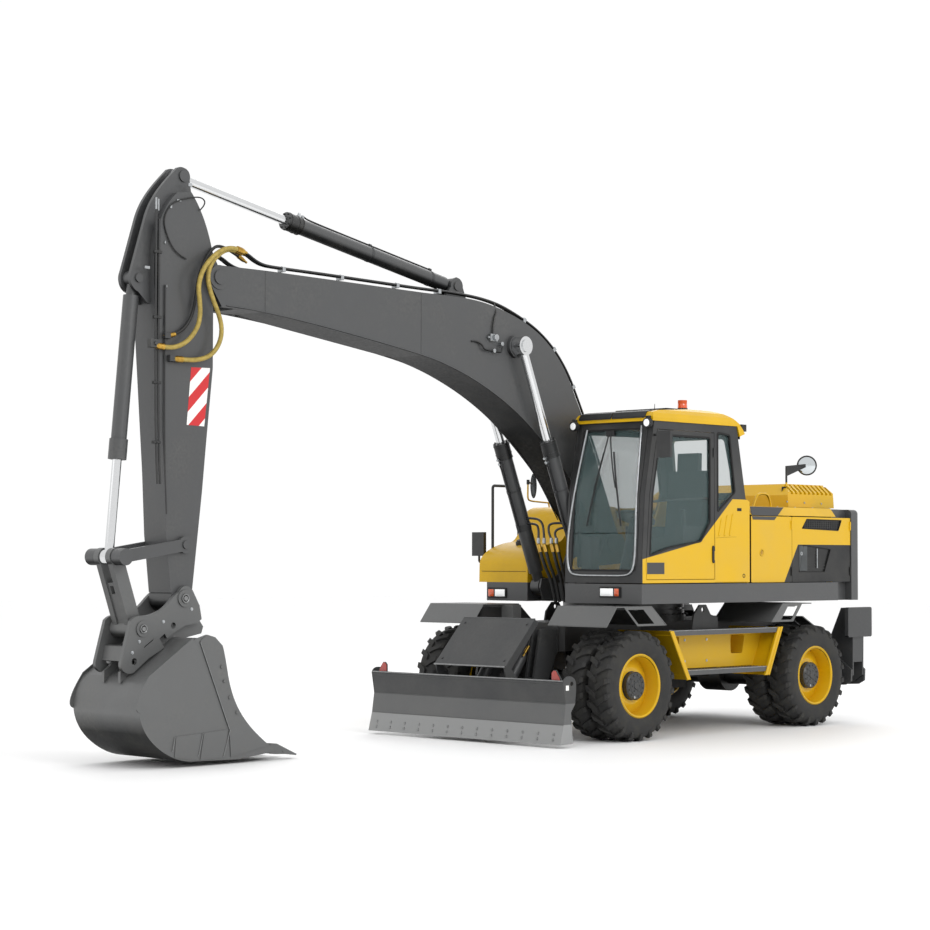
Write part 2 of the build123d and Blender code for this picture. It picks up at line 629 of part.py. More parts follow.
deck_recess = 645.0       # the deck stops here behind the boom cylinders' eyes
deck_outline = [
    (cab_front, half_width), (cab_front, cab_inner_y), (deck_recess, cab_inner_y), (deck_recess, box_inner_y), (box_front, box_inner_y),
    (box_front, -half_width + 110), (box_front - 120, -half_width), (-2040, -half_width), (-2040, half_width),
]
with BuildPart() as upper_frame:
    # belly plate and the skirt round it
    deck_plate(deck_outline, deck_low, deck_low + 16)
    deck_plate(deck_outline, deck_low + 14, deck_top)
    with BuildSketch(Plane.XY.offset(deck_low + 16)) as hollow:
        with BuildLine():
            Polyline(*deck_outline, close=True)
        make_face()
        offset(amount=-14, mode=Mode.REPLACE)
    extrude(hollow.sketch, amount=deck_top, mode=Mode.SUBTRACT)
    # the two main longitudinal beams carry the boom's foot and the counterweight
    for side in (1, -1):
        low, high = sorted((gear_y + side * lug_inner, gear_y + side * lug_outer))
        lug = [(-2040, deck_low + 10), (-2040, deck_top - 10), (-500, deck_top - 10), (-120, 1700), (130, 1985), (330, 2010),
               (420, 1860), (540, 1600), (660, 1535), (840, 1530), (860, 1440), (814, deck_low + 10)]
        side_plate(lug, low, high)
        cap_low, cap_high = sorted((gear_y + side * lug_outer, gear_y + side * (lug_outer + 14)))
        pin_along_y(boom_foot, 105, cap_low, cap_high)
        # the boom cylinder's foot pin stands out from a boss on the lug
        boss_low, boss_high = span(lug_inner, boom_cylinder_dy - cylinder_eye_half - side_gap, side)
        pin_along_y(boom_barrel_pin, 85, gear_y + boss_low, gear_y + boss_high)
        tip = boom_cylinder_dy + cylinder_eye_half + 18
        pin_low, pin_high = sorted((gear_y + side * lug_inner, gear_y + side * tip))
        pin_along_y(boom_barrel_pin, cylinder_pin_radius, pin_low, pin_high)
        cap_low, cap_high = sorted((gear_y + side * (tip - 10), gear_y + side * (tip + 6)))
        pin_along_y(boom_barrel_pin, cylinder_pin_radius + 18, cap_low, cap_high)
    pin_along_y(boom_foot, boom_pin_radius, gear_y - lug_outer, gear_y + lug_outer)
    # cross members between the beams
    for x in (-1500, -500, 600):
        block((x, x + 20), (gear_y - lug_inner - 5, gear_y + lug_inner + 5), (deck_low + 10, deck_top - 20))
upper_frame.part.label = "upper_frame"

with BuildPart() as counterweight:
    with BuildSketch(Plane.XY.offset(deck_low)) as weight_plan:
        Circle(tail_radius)
        with Locations((-2040 - 1000, 0)):
            Rectangle(2000, 2 * half_width - 20, mode=Mode.INTERSECT)
    extrude(weight_plan.sketch, amount=2262 - deck_low)
    tail_corners = counterweight.part.edges().filter_by(Axis.Z).sort_by(Axis.X)[:2]
    fillet(tail_corners, 70)
    fillet(counterweight.part.faces().sort_by(Axis.Z)[-1].edges().sort_by(Axis.X)[:-1], 45)
    # room for the radiator doors that lap its front corners
    for side in (1, -1):
        block((-2305, -2030), span(half_width - 90, half_width + 5, side), (deck_low - 1, 2300), Mode.SUBTRACT)
counterweight.part.label = "counterweight"

hood_side = half_width - 20
with BuildPart() as engine_hood:
    # roof panel and shoulders of the engine bay, open at the sides where the doors are
    roof = [(-hood_side, 2180), (-hood_side + 70, hood_top), (hood_side - 70, hood_top), (hood_side, 2180),
            (hood_side - skin, 2180), (hood_side - 80, hood_top - skin), (-hood_side + 80, hood_top - skin), (-hood_side + skin, 2180)]
    cross_plate(roof, -2035, hood_front)
    block((hood_front - 24, hood_front), (-hood_side + 46, hood_side - 46), (deck_top, 2215))
    # pillars between the doors
    for side in (1, -1):
        for x in (-1262, -2035):
            block((x, x + 24), span(hood_side - 110, hood_side - 45, side), (deck_top, 2200))
    # opening under the raised lid
    block((-1990, -1600), (-700, 700), (hood_top - 60, hood_top + 10), Mode.SUBTRACT)
    # the boom's foot swings above a notch in the front wall
    block((hood_front - 40, hood_front + 10), (gear_y - 300, gear_y + 300), (2150, 2300), Mode.SUBTRACT)
engine_hood.part.label = "engine_hood"

with BuildPart() as engine_block:
    block((-1850, -1000), (-420, 420), (deck_top + 20, 2150))
engine_block.part.label = "engine_block"

lid_outer = 930.0
lid_top = 2530.0
lid_hinge = (-2410.0, hood_top + 8)
mirror_post = (-1735.0, 800.0)
with BuildPart() as hood_lid:
    lid_profile = [(-lid_outer, hood_top + 12), (-lid_outer + 12, 2440), (-lid_outer + 110, lid_top), (lid_outer - 110, lid_top),
                   (lid_outer - 12, 2440), (lid_outer, hood_top + 12)]
    cross_plate(lid_profile, -2420, -1590)
    lid_side = [(-2420, hood_top + 12), (-2420, 2440), (-2385, lid_top), (-1690, lid_top), (-1590, 2410), (-1590, hood_top + 12)]
    side_plate(lid_side, -lid_outer, lid_outer, Mode.INTERSECT)
    with BuildPart(mode=Mode.SUBTRACT):
        inner = [(-lid_outer + 26, hood_top + 11), (-lid_outer + 40, 2420), (-lid_outer + 125, lid_top - 24),
                 (lid_outer - 125, lid_top - 24), (lid_outer - 40, 2420), (lid_outer - 26, hood_top + 11)]
        cross_plate(inner, -2396, -1614)
        inner_side = [(-2396, hood_top + 11), (-2396, 2436), (-2370, lid_top - 24), (-1708, lid_top - 24), (-1614, 2400), (-1614, hood_top + 11)]
        side_plate(inner_side, -lid_outer, lid_outer, Mode.INTERSECT)
    # louvre slots down each long side
    for side in (1, -1):
        for index in range(10):
            x = -1650 - 78 * index
            block((x - 40, x), span(lid_outer - 116, lid_outer + 20, side), (2420, lid_top + 5), Mode.SUBTRACT)
        pin_along_y(lid_hinge, hinge_radius, *span(480, 600, side))
    # round rear-view mirror on a post at the left front of the lid
    rod_between((mirror_post[0], mirror_post[1], lid_top - 60), (mirror_post[0], mirror_post[1], 2722), 11)
    brace = [(mirror_post[0] - 5, 2615), (mirror_post[0] - 5, 2724), (mirror_post[0] - 370, 2756), (mirror_post[0] - 370, 2726)]
    side_plate(brace, mirror_post[1] - 6, mirror_post[1] + 6)
    disc_centre = Vector(mirror_post[0] - 372, mirror_post[1], 2739)
    disc_facing = Vector(0.8, 0.58, -0.08).normalized()
    rod_between(tuple(disc_centre - disc_facing * 16), tuple(disc_centre + disc_facing * 10), 106)
hood_lid.part.label = "hood_lid"


def hinge_barrels(centre, heights):
    # two short knuckles that stand on the door's hinge line
    for low_z in heights:
        with BuildSketch(Plane.XY.offset(low_z)) as outline:
            with Locations(centre):
                Circle(hinge_radius)
        extrude(outline.sketch, amount=90)


def service_door(front_x, rear_x, side, grille):
    # a flat door with turned-in top edge; the rear ones have a grille window above a vent
    with BuildPart() as body:
        low_z = deck_top + door_gap
        face = [(front_x, low_z), (rear_x, low_z), (rear_x, 2170), (front_x, 2170)]
        side_plate(face, *span(hood_side - 38, hood_side, side), rounding=12)
        if grille:
            window = [(-1505, 2150), (-2143, 2145), (-2085, 2034), (-1423, 2051)]
            vent = [(-1449, 1884), (-1943, 1839), (-1830, 1597), (-1366, 1599)]
            side_plate(window, *span(hood_side - 12, hood_side + 1, side), Mode.SUBTRACT)
            side_plate(vent, *span(hood_side - 12, hood_side + 1, side), Mode.SUBTRACT)
            # louvre bars across both
            for index in range(4):
                z = 2060 + 22 * index
                block((-2090, -1470), span(hood_side - 13, hood_side - 4, side), (z, z + 8))
            for index in range(7):
                z = 1630 + 32 * index
                block((-1840, -1400), span(hood_side - 13, hood_side - 4, side), (z, z + 10))
        hinge_barrels((rear_x + hinge_radius, side * (hood_side + hinge_out)), (1560, 2040))
    return body


middle_door_left = service_door(hood_front - 8, -1247, 1, False)
middle_door_left.part.label = "middle_door_left"
rear_door_left = service_door(-1253, hood_rear, 1, True)
rear_door_left.part.label = "rear_door_left"
rear_door_right = service_door(-1253, hood_rear, -1, True)
rear_door_right.part.label = "rear_door_right"

with BuildPart() as side_tank:
    # fuel tank, battery box and the step at the right front corner
    profile = [(box_front, deck_top), (box_front - 4, 1660), [(box_front - 14, 1712), (760, 1792), (650, 1845), (520, 1884), (400, 1904)],
               [(330, 1922), (262, 1990), (205, 2110), (150, 2205), (60, 2262), (-40, 2280)], (hood_front + 6, 2286),
               (hood_front + 6, deck_top)]
    smooth_plate(profile, -half_width, box_inner_y)
    edges = side_tank.part.edges().filter_by(Axis.Z).group_by(Axis.X)[-1]
    fillet(edges.sort_by(Axis.Y)[0], 115)
    # the fixed panel behind it covers the pump bay
    block((-1247, hood_front + 7), (-hood_side, -hood_side + 38), (deck_top, 2170))
side_tank.part.label = "side_tank"

# ---- cab
cab_floor = deck_top + 10.0
cab_outline = [(cab_front, cab_floor), (cab_front, 1625), (1150, 2350), (1010, 3060), (-290, 3060), (-436, 2340),
               (cab_rear, 2310), (cab_rear, cab_floor)]
door_rear = 72.0
with BuildPart() as cab_shell:
    side_plate(cab_outline, cab_inner_y, half_width)
    hollow = [(cab_front - cab_wall, cab_floor + 40), (cab_front - cab_wall, 1620), (1104, 2350), (968, 3020), (-258, 3020),
              (-390, 2340), (cab_rear + cab_wall, 2270), (cab_rear + cab_wall, cab_floor + 40)]
    side_plate(hollow, cab_inner_y + cab_wall, half_width - cab_wall, Mode.SUBTRACT)
    # windscreen, seen from ahead: y and z corners
    screen = [(cab_inner_y + 75, 1620), (half_width - 80, 1620), (half_width - 150, 2990), (cab_inner_y + 90, 2990)]
    cross_plate(screen, 940, cab_front + 5, Mode.SUBTRACT, 60)
    # door opening, rear quarter light, right side light, rear window
    opening = [(door_rear, cab_floor + 30), (1130, cab_floor + 30), (1140, 1640), (1085, 2350), (960, 2985), (door_rear, 2985)]
    side_plate(opening, half_width - cab_wall - 5, half_width + 5, Mode.SUBTRACT)
    quarter = [(20, 2200), (-262, 2400), (-175, 2970), (20, 2985)]
    side_plate(quarter, half_width - cab_wall - 5, half_width + 5, Mode.SUBTRACT, 25)
    right_light = [(1080, 1640), (1035, 2350), (900, 2960), (-170, 2970), (-262, 2400), (-180, 2200), (150, 1700)]
    side_plate(right_light, cab_inner_y - 5, cab_inner_y + cab_wall + 5, Mode.SUBTRACT, 40)
    rear_window = [(cab_inner_y + 110, 2400), (half_width - 110, 2400), (half_width - 150, 2940), (cab_inner_y + 150, 2940)]
    cross_plate(rear_window, -450, -250, Mode.SUBTRACT, 40)
cab_shell.part.label = "cab_shell"

with BuildPart() as cab_roof:
    roof_side = [(1042, 3062), (1036, 3110), (1010, 3150), (900, 3172), (390, 3204), (60, 3204), [(-80, 3188), (-220, 3145), (-330, 3080), (-415, 2990)],
                 (-330, 2960), (-292, 3062)]
    smooth_plate(roof_side, cab_inner_y - 10, half_width + 10)
    # rounded shoulders along both sides
    low_y, high_y = cab_inner_y - 10, half_width + 10
    shoulder = [(low_y, 2900), (low_y, 3095), (low_y + 14, 3140), (low_y + 48, 3178), (low_y + 110, 3210),
                (high_y - 110, 3210), (high_y - 48, 3178), (high_y - 14, 3140), (high_y, 3095), (high_y, 2900)]
    cross_plate(shoulder, -450, 1100, Mode.INTERSECT)
cab_roof.part.label = "cab_roof"

glass = 8.0
with BuildPart() as cab_glass:
    # curved windscreen in two panes, right side light, rear window and left quarter light
    pane = [(cab_front - 12, 1600), (1137, 2350), (1000, 3010), (1000 - glass, 3010), (1137 - glass, 2350), (cab_front - 12 - glass, 1600)]
    side_plate(pane, cab_inner_y + 10, half_width - 10)
    cross_plate(screen, 900, cab_front + 5, Mode.INTERSECT, 60)
    block((900, 1250), (cab_inner_y, half_width), (1976, 1984), Mode.SUBTRACT)
    side_plate(right_light, cab_inner_y + 14, cab_inner_y + 14 + glass, rounding=40)
    side_plate(quarter, half_width - 28, half_width - 28 + glass, rounding=25)
cab_glass.part.label = "cab_glass"

with BuildPart() as cab_interior:
    # seat base, cushion, back and head rest; two consoles; steering column and wheel; dash pod
    middle = (cab_inner_y + half_width) / 2
    block((-150, 300), (middle - 170, middle + 170), (cab_floor + 40, 1820))
    block((-200, 330), (middle - 240, middle + 240), (1820, 1950))
    side_plate([(-120, 1950), (-20, 1950), (-110, 2620), (-190, 2620)], middle - 230, middle + 230)
    side_plate([(-180, 2620), (-110, 2620), (-120, 2800), (-185, 2800)], middle - 130, middle + 130)
    for side in (1, -1):
        low, high = sorted((middle + side * 260, middle + side * 370))
        block((-150, 420), (low, high), (cab_floor + 40, 2060))
        pin_y = middle + side * 315
        rod_between((340, pin_y, 2055), (360, pin_y, 2220), 22)
    rod_between((890, middle, cab_floor + 70), (700, middle, 2120), 55)
    block((800, 980), (middle - 80, middle + 80), (cab_floor + 40, cab_floor + 130))
    rod_between((700, middle, 2118), (690, middle, 2145), 190)
    block((950, 1080), (middle - 380, middle - 260), (cab_floor + 40, 1950))
cab_interior.part.label = "cab_interior"

with BuildPart() as cab_door:
    gap = door_gap
    leaf = [(door_rear + gap, cab_floor + 30 + gap), (1130 - gap, cab_floor + 30 + gap), (1140 - gap, 1640), (1085 - gap, 2350),
            (960 - gap, 2985 - gap), (door_rear + gap, 2985 - gap)]
    side_plate(leaf, half_width - 40, half_width)
    door_window = [(door_rear + 70, 2095), (290, 1905), (805, 1835), (1080, 1760), (1035, 2350), (915, 2930), (door_rear + 70, 2930)]
    side_plate(door_window, half_width - 41, half_width + 1, Mode.SUBTRACT, 30)
    hinge_barrels((door_rear + gap + hinge_radius, half_width + hinge_out), (1720, 2740))
cab_door.part.label = "cab_door"

with BuildPart() as door_glass:
    side_plate(door_window, half_width - 26, half_width - 26 + glass, rounding=30)
door_glass.part.label = "door_glass"

mirror_out = 240.0        # of the mirrors' outer edges, from the sides
mirror_reach = half_width + mirror_out
with BuildPart() as mirrors_and_rails:
    # right front mirror on its bracket
    right_face = -half_width
    bent_rod([(560, right_face, 1640), (560, right_face - 60, 1640), (690, -mirror_reach + 85, 1700), (690, -mirror_reach + 85, 2000)],
             12, 25)
    block((672, 712), (-mirror_reach, -mirror_reach + 170), (1760, 2010))
    # left mirror on the front cab pillar
    bent_rod([(1004, half_width, 2925), (1004, half_width + 50, 2925), (1046, mirror_reach - 80, 2945)], 11, 25)
    block((1030, 1064), (mirror_reach - 170, mirror_reach), (2700, 2955))
    # hoop handrail beside the right front step
    rail_y = right_face - 45
    bent_rod([(600, right_face, 1600), (600, rail_y, 1600), (600, rail_y, 2500), (200, rail_y, 2500), (200, rail_y, 1700),
              (200, right_face, 1700)], 15, 30)
mirrors_and_rails.part.label = "mirrors_and_rails"

lamp_split = {cab_front: ((727, 899), (905, 969)), box_front: ((-1004, -858), (-1099, -1012))}
beacon = (150.0, 900.0)
with BuildPart() as lamps:
    # head lamps and turn signals set on the two front faces of the deck
    for face_x, low_y, high_y, low_z, high_z in ((cab_front, 715, 982, 1356, 1464), (box_front, -1112, -848, 1326, 1434)):
        with BuildSketch(Plane.YZ.offset(face_x + seat_gap)) as bezel:
            with Locations(((low_y + high_y) / 2, (low_z + high_z) / 2)):
                RectangleRounded(high_y - low_y, high_z - low_z, 16)
        extrude(bezel.sketch, amount=12)
        for first, last in lamp_split[face_x]:
            block((face_x + 10, face_x + 17), (first, last), (low_z + 12, high_z - 12))
    # work lamps on the roof's front edge
    for y in (cab_inner_y + 6, half_width - 30):
        block((1046, 1082), (y - 18, y + 18), (3084, 3108))
        pin_along_x(y, 3040, 46, 1046, 1092)
        block((1046, 1070), (y - 12, y + 12), (3060, 3090))
    # lamp on its bracket at the roof's left rear corner
    block((-500, -420), (1105, 1205), (3020, 3090))
    block((-425, -416), (1130, 1180), (2940, 3060))
    # rotating beacon on its stalk
    rod_between((beacon[0], beacon[1], 3204 + seat_gap), (beacon[0], beacon[1], 3236), 52)
    rod_between((beacon[0], beacon[1], 3234), (beacon[0], beacon[1], 3318), 46)
lamps.part.label = "lamps"

# =====================================================================================
# Working gear
# =====================================================================================
def gear_span(reach):
    return gear_y - reach, gear_y + reach


def both_sides(low, high):
    # Y spans of a layer on each side of the gear's middle plane
    return [(gear_y + low, gear_y + high), (gear_y - high, gear_y - low)]


nose_radius = 105.0
nose_plate_in = arm_half + 14 + side_gap     # inner face of the boom's nose fork
boom_bore = 50.0
boom_outline = [
    (5429, 4243), (4896, 4245), (2976, 4222), [(2560, 4222), (2144, 4196), (1820, 4128), (1339, 3936), (997, 3639), (766, 3241), (560, 2850)],
    (375, 2450), (150, 1960), (330, 1815), (553, 2093), (821, 2418),
    [(1001, 2626), (1500, 3030), (1818, 3224), (2178, 3392), (2529, 3518), (2990, 3633)],
    (4923, 3885), (5412, 3888), (5530, 4060), (5530, 4190),
]
boom_hollow = [
    (5150, 4221), (4896, 4222), (2976, 4198), [(2560, 4196), (2150, 4170), (1830, 4102), (1357, 3912), (1018, 3624), (792, 3235), (590, 2850)],
    (480, 2600), (700, 2450), (800, 2440),
    [(985, 2650), (1485, 3054), (1806, 3250), (2168, 3418), (2520, 3543), (2985, 3658)],
    (4920, 3909), (5150, 3910),
]
arm_base_lug = [(2240, 4150), (2320, 4340), (2400, 4430), (2470, 4345), (2620, 4165), (2620, 4150)]
with BuildPart() as boom:
    smooth_plate(boom_outline, *gear_span(boom_half))
    smooth_plate(boom_hollow, *gear_span(boom_half - boom_plate), Mode.SUBTRACT)
    # foot boss, nose fork and the pin across it
    pin_along_y(boom_foot, 108, *gear_span(boom_half))
    pin_along_y(boom_foot, boom_pin_radius + pin_gap, *gear_span(boom_half + 10), Mode.SUBTRACT)
    block((5215, 5700), gear_span(nose_plate_in), (3700, 4400), Mode.SUBTRACT)
    for low, high in both_sides(nose_plate_in, boom_half + 8):
        pin_along_y(boom_nose, nose_radius, low, high)
    pin_along_y(boom_nose, boom_bore, *gear_span(boom_half + 20))
    # bosses beside the lift cylinders' rod eyes
    for low, high in both_sides(boom_half - 5, boom_cylinder_dy - cylinder_eye_half - side_gap):
        pin_along_y(boom_rod_pin, 110, low, high)
    # keeper plates over the nose pin and the rod pins' bosses
    for low, high in both_sides(boom_half + 7, boom_half + 20):
        pin_along_y(boom_nose, 62, low, high)
    # lugs and pin for the arm cylinder's foot
    for low, high in both_sides(62, 92):
        side_plate(arm_base_lug, low, high)
        pin_along_y(arm_barrel_pin, 82, low, high)
    pin_along_y(arm_barrel_pin, 42, *gear_span(104))
boom.part.label = "boom"


def cylinder(barrel_pin, rod_pin, neck, gland, bore_start, middle_y, sizes):
    # sizes: eye half width, eye radius, barrel radius, gland radius, rod radius, base pin radius
    eye_half, eye_radius, barrel_radius, gland_radius, rod_radius, base_radius = sizes
    first = along(barrel_pin, rod_pin, neck)
    collar = along(barrel_pin, rod_pin, gland - 170)
    last = along(barrel_pin, rod_pin, gland)
    bore = along(barrel_pin, rod_pin, bore_start)
    pin_along_y(barrel_pin, eye_radius, middle_y - eye_half, middle_y + eye_half)
    rod_between((barrel_pin[0], middle_y, barrel_pin[1]), (first[0], middle_y, first[1]), eye_half - 1)
    rod_between((first[0], middle_y, first[1]), (last[0], middle_y, last[1]), barrel_radius)
    rod_between((collar[0], middle_y, collar[1]), (last[0], middle_y, last[1]), gland_radius)
    pin_along_y(barrel_pin, base_radius + pin_gap, middle_y - eye_half - 5, middle_y + eye_half + 5, Mode.SUBTRACT)
    rod_between((bore[0], middle_y, bore[1]), (last[0], middle_y, last[1]), rod_radius + pin_gap, Mode.SUBTRACT)


def cylinder_rod(barrel_pin, rod_pin, rod_start, middle_y, sizes):
    eye_half, eye_radius, barrel_radius, gland_radius, rod_radius, base_radius = sizes
    start = along(barrel_pin, rod_pin, rod_start)
    rod_between((start[0], middle_y, start[1]), (rod_pin[0], middle_y, rod_pin[1]), rod_radius)
    pin_along_y(rod_pin, eye_radius, middle_y - eye_half, middle_y + eye_half)


# distances from each barrel's pin: end of the neck, gland face, start of the bore, inner end of the rod
boom_cylinder_sizes = (cylinder_eye_half, 92, 74, 80, 43, cylinder_pin_radius)
boom_neck, boom_gland, boom_bore_start, boom_rod_start = 165.0, 1560.0, 200.0, 960.0
with BuildPart() as boom_barrels:
    for side in (1, -1):
        y = gear_y + side * boom_cylinder_dy
        cylinder(boom_barrel_pin, boom_rod_pin, boom_neck, boom_gland, boom_bore_start, y, boom_cylinder_sizes)
boom_barrels.part.label = "boom_barrels"
with BuildPart() as boom_rods:
    for side in (1, -1):
        y = gear_y + side * boom_cylinder_dy
        cylinder_rod(boom_barrel_pin, boom_rod_pin, boom_rod_start, y, boom_cylinder_sizes)
        low, high = sorted((y + side * cylinder_eye_half, y + side * (cylinder_eye_half + 14)))
        pin_along_y(boom_rod_pin, 62, low, high)
boom_rods.part.label = "boom_rods"

arm_cylinder_sizes = (56, 80, 72, 80, 42, 42)
arm_neck, arm_gland, arm_bore_start, arm_rod_start = 105.0, 2150.0, 170.0, 1330.0
arm_eye_half = 44.0
with BuildPart() as arm_barrel:
    cylinder(arm_barrel_pin, arm_rod_pin, arm_neck, arm_gland, arm_bore_start, gear_y, arm_cylinder_sizes)
arm_barrel.part.label = "arm_barrel"
with BuildPart() as arm_rod:
    cylinder_rod(arm_barrel_pin, arm_rod_pin, arm_rod_start, gear_y, (arm_eye_half, 68, 72, 80, 42, 42))
arm_rod.part.label = "arm_rod"

# ---- arm
crest_in = arm_eye_half + side_gap      # inner face of the two crest plates
crest_out = crest_in + 34
arm_outline = [
    (5700, 4850), [(5612, 4727), (5548, 4605), (5472, 4387)], [(5400, 4245), (5355, 4139), (5390, 4020), (5453, 3900)],
    (5453, 3358), (5521, 2715), (5563, 2293), (5665, 1440), (5890, 1440), (5945, 1931), (5972, 2460), (6077, 3866),
    [(6095, 4220), (6070, 4440), (6000, 4640), (5850, 4830)],
]
arm_hollow = [
    (5700, 4820), (5640, 4720), (5570, 4605), (5560, 4330), (5570, 4000), (5480, 3870), (5480, 3358), (5547, 2715), (5588, 2293),
    (5660, 2000), (5920, 2000), (5946, 2460), (6052, 3866), (6070, 4295), (5990, 4605), (5840, 4800),
]
crest_outline = [
    (5675, 5005), [(5700, 5048), (5748, 5066), (5800, 5056)], [(5894, 4962), (6055, 4765), (6134, 4600)], (6280, 4130),
    [(6290, 4060), (6262, 3995), (6208, 3960)], (6110, 3870), (6050, 3870), (6050, 4290), (5970, 4590), (5830, 4780), (5630, 4740),
]
with BuildPart() as arm:
    smooth_plate(arm_outline, *gear_span(arm_half))
    side_plate(arm_hollow, *gear_span(arm_half - arm_plate), Mode.SUBTRACT)
    pin_along_y(boom_nose, 100, *gear_span(arm_half + 14))
    pin_along_y(boom_nose, boom_bore + pin_gap, *gear_span(arm_half + 20), Mode.SUBTRACT)
    for low, high in both_sides(crest_in, crest_out):
        smooth_plate(crest_outline, low, high)
        pin_along_y(arm_rod_pin, 72, low, high)
        pin_along_y(bucket_barrel_pin, 80, low, high)
    pin_along_y(bucket_barrel_pin, 38, *gear_span(crest_out + 16))
    for low, high in both_sides(crest_out - 2, crest_out + 14):
        pin_along_y(arm_rod_pin, 50, low, high)
    pin_along_y(bucket_pin, 112, *gear_span(arm_half))
    pin_along_y(bucket_pin, 40 + pin_gap, *gear_span(arm_half + 5), Mode.SUBTRACT)
    # the rocker's pin stands out on both sides
    pin_along_y(rocker_pin, 36, *gear_span(arm_half + 52))
    pin_along_y(rocker_pin, 70, *gear_span(arm_half))
arm.part.label = "arm"

bucket_cylinder_sizes = (arm_eye_half, 68, 66, 78, 40, 38)
bucket_neck, bucket_gland, bucket_bore_start, bucket_rod_start = 145.0, 1530.0, 160.0, 720.0
with BuildPart() as bucket_barrel:
    cylinder(bucket_barrel_pin, link_pin, bucket_neck, bucket_gland, bucket_bore_start, gear_y, bucket_cylinder_sizes)
bucket_barrel.part.label = "bucket_barrel"
with BuildPart() as bucket_rod:
    cylinder_rod(bucket_barrel_pin, link_pin, bucket_rod_start, gear_y, (arm_eye_half, 66, 66, 78, 40, 38))
bucket_rod.part.label = "bucket_rod"

rocker_in = arm_half + side_gap
rocker_out = rocker_in + 34


def bar_outline(first, second, half_width):
    # a bar's outline in X and Z between two pins
    length = distance_between(first, second)
    across_x = half_width * (second[1] - first[1]) / length
    across_z = half_width * (second[0] - first[0]) / length
    return [(first[0] + across_x, first[1] - across_z), (second[0] + across_x, second[1] - across_z),
            (second[0] - across_x, second[1] + across_z), (first[0] - across_x, first[1] + across_z)]


with BuildPart() as rocker:
    for low, high in both_sides(rocker_in, rocker_out):
        side_plate(bar_outline(rocker_pin, link_pin, 52), low, high)
        pin_along_y(rocker_pin, 72, low, high)
        pin_along_y(rocker_pin, 36 + pin_gap, low - 1, high + 1, Mode.SUBTRACT)
    for low, high in both_sides(rocker_in - 34, 238):
        pin_along_y(link_pin, 70, low, high)
rocker.part.label = "rocker"

link_in = crest_in
link_out = 112.0
with BuildPart() as bucket_link:
    for low, high in both_sides(link_in, link_out):
        side_plate(bar_outline(coupler_pin, link_pin, 62), low, high)
        pin_along_y(link_pin, 76, low, high)
    # web between the side bars, below the slot
    side_plate(bar_outline(coupler_pin, along(coupler_pin, link_pin, 420), 50), *gear_span(link_in + 1))
    side_plate(bar_outline(along(coupler_pin, link_pin, 322), along(coupler_pin, link_pin, 392), 80), *gear_span(24), Mode.SUBTRACT)
    pin_along_y(coupler_pin, 82, *gear_span(arm_half - 2))
    pin_along_y(coupler_pin, 38 + pin_gap, *gear_span(arm_half + 2), Mode.SUBTRACT)
bucket_link.part.label = "bucket_link"

# ---- quick coupler and bucket
coupler_in = arm_half + side_gap
coupler_out = coupler_in + 36
coupler_outline = [
    (5690, 1460), (5614, 1330), (5590, 1215), (5640, 1180), (5760, 1165), (5880, 1110), (5924, 1081), (5960, 1060),
    (5985, 1100), (6040, 1062), (5990, 985), (6040, 955), (6150, 900), (6285, 800),
    [(6345, 778), (6415, 806), (6432, 880)], (6338, 1211), [(6290, 1244), (6232, 1251)],
    [(6098, 1271), (5990, 1320), (5900, 1400), (5836, 1445)], [(5790, 1490), (5730, 1490), (5690, 1460)],
]
coupler_tube = (6030.0, 1180.0)
with BuildPart() as quick_coupler:
    for low, high in both_sides(coupler_in, coupler_out):
        smooth_plate(coupler_outline[:-1] + [coupler_outline[-1][:-1]], low, high)
        # sight holes and the locking bar's slot
        pin_along_y((5894, 1166), 26, low - 1, high + 1, Mode.SUBTRACT)
        pin_along_y((6299, 877), 28, low - 1, high + 1, Mode.SUBTRACT)
        side_plate([(6098, 1062), (6110, 1044), (6202, 984), (6190, 1002)], low - 1, high + 1, Mode.SUBTRACT)
    pin_along_y(bucket_pin, 40, *gear_span(coupler_out + 22))
    pin_along_y(coupler_pin, 38, *gear_span(coupler_out + 22))
    for low, high in both_sides(coupler_out - 1, coupler_out + 12):
        pin_along_y(bucket_pin, 72, low, high)
        pin_along_y(coupler_pin, 66, low, high)
    # tube between the plates, above the bucket's ears, and the latch hook's front beam
    pin_along_y(coupler_tube, 50, *gear_span(coupler_in + 1))
    side_plate([(6310, 1010), (6345, 1000), (6372, 880), (6340, 872)], *gear_span(coupler_in + 1))
quick_coupler.part.label = "quick_coupler"

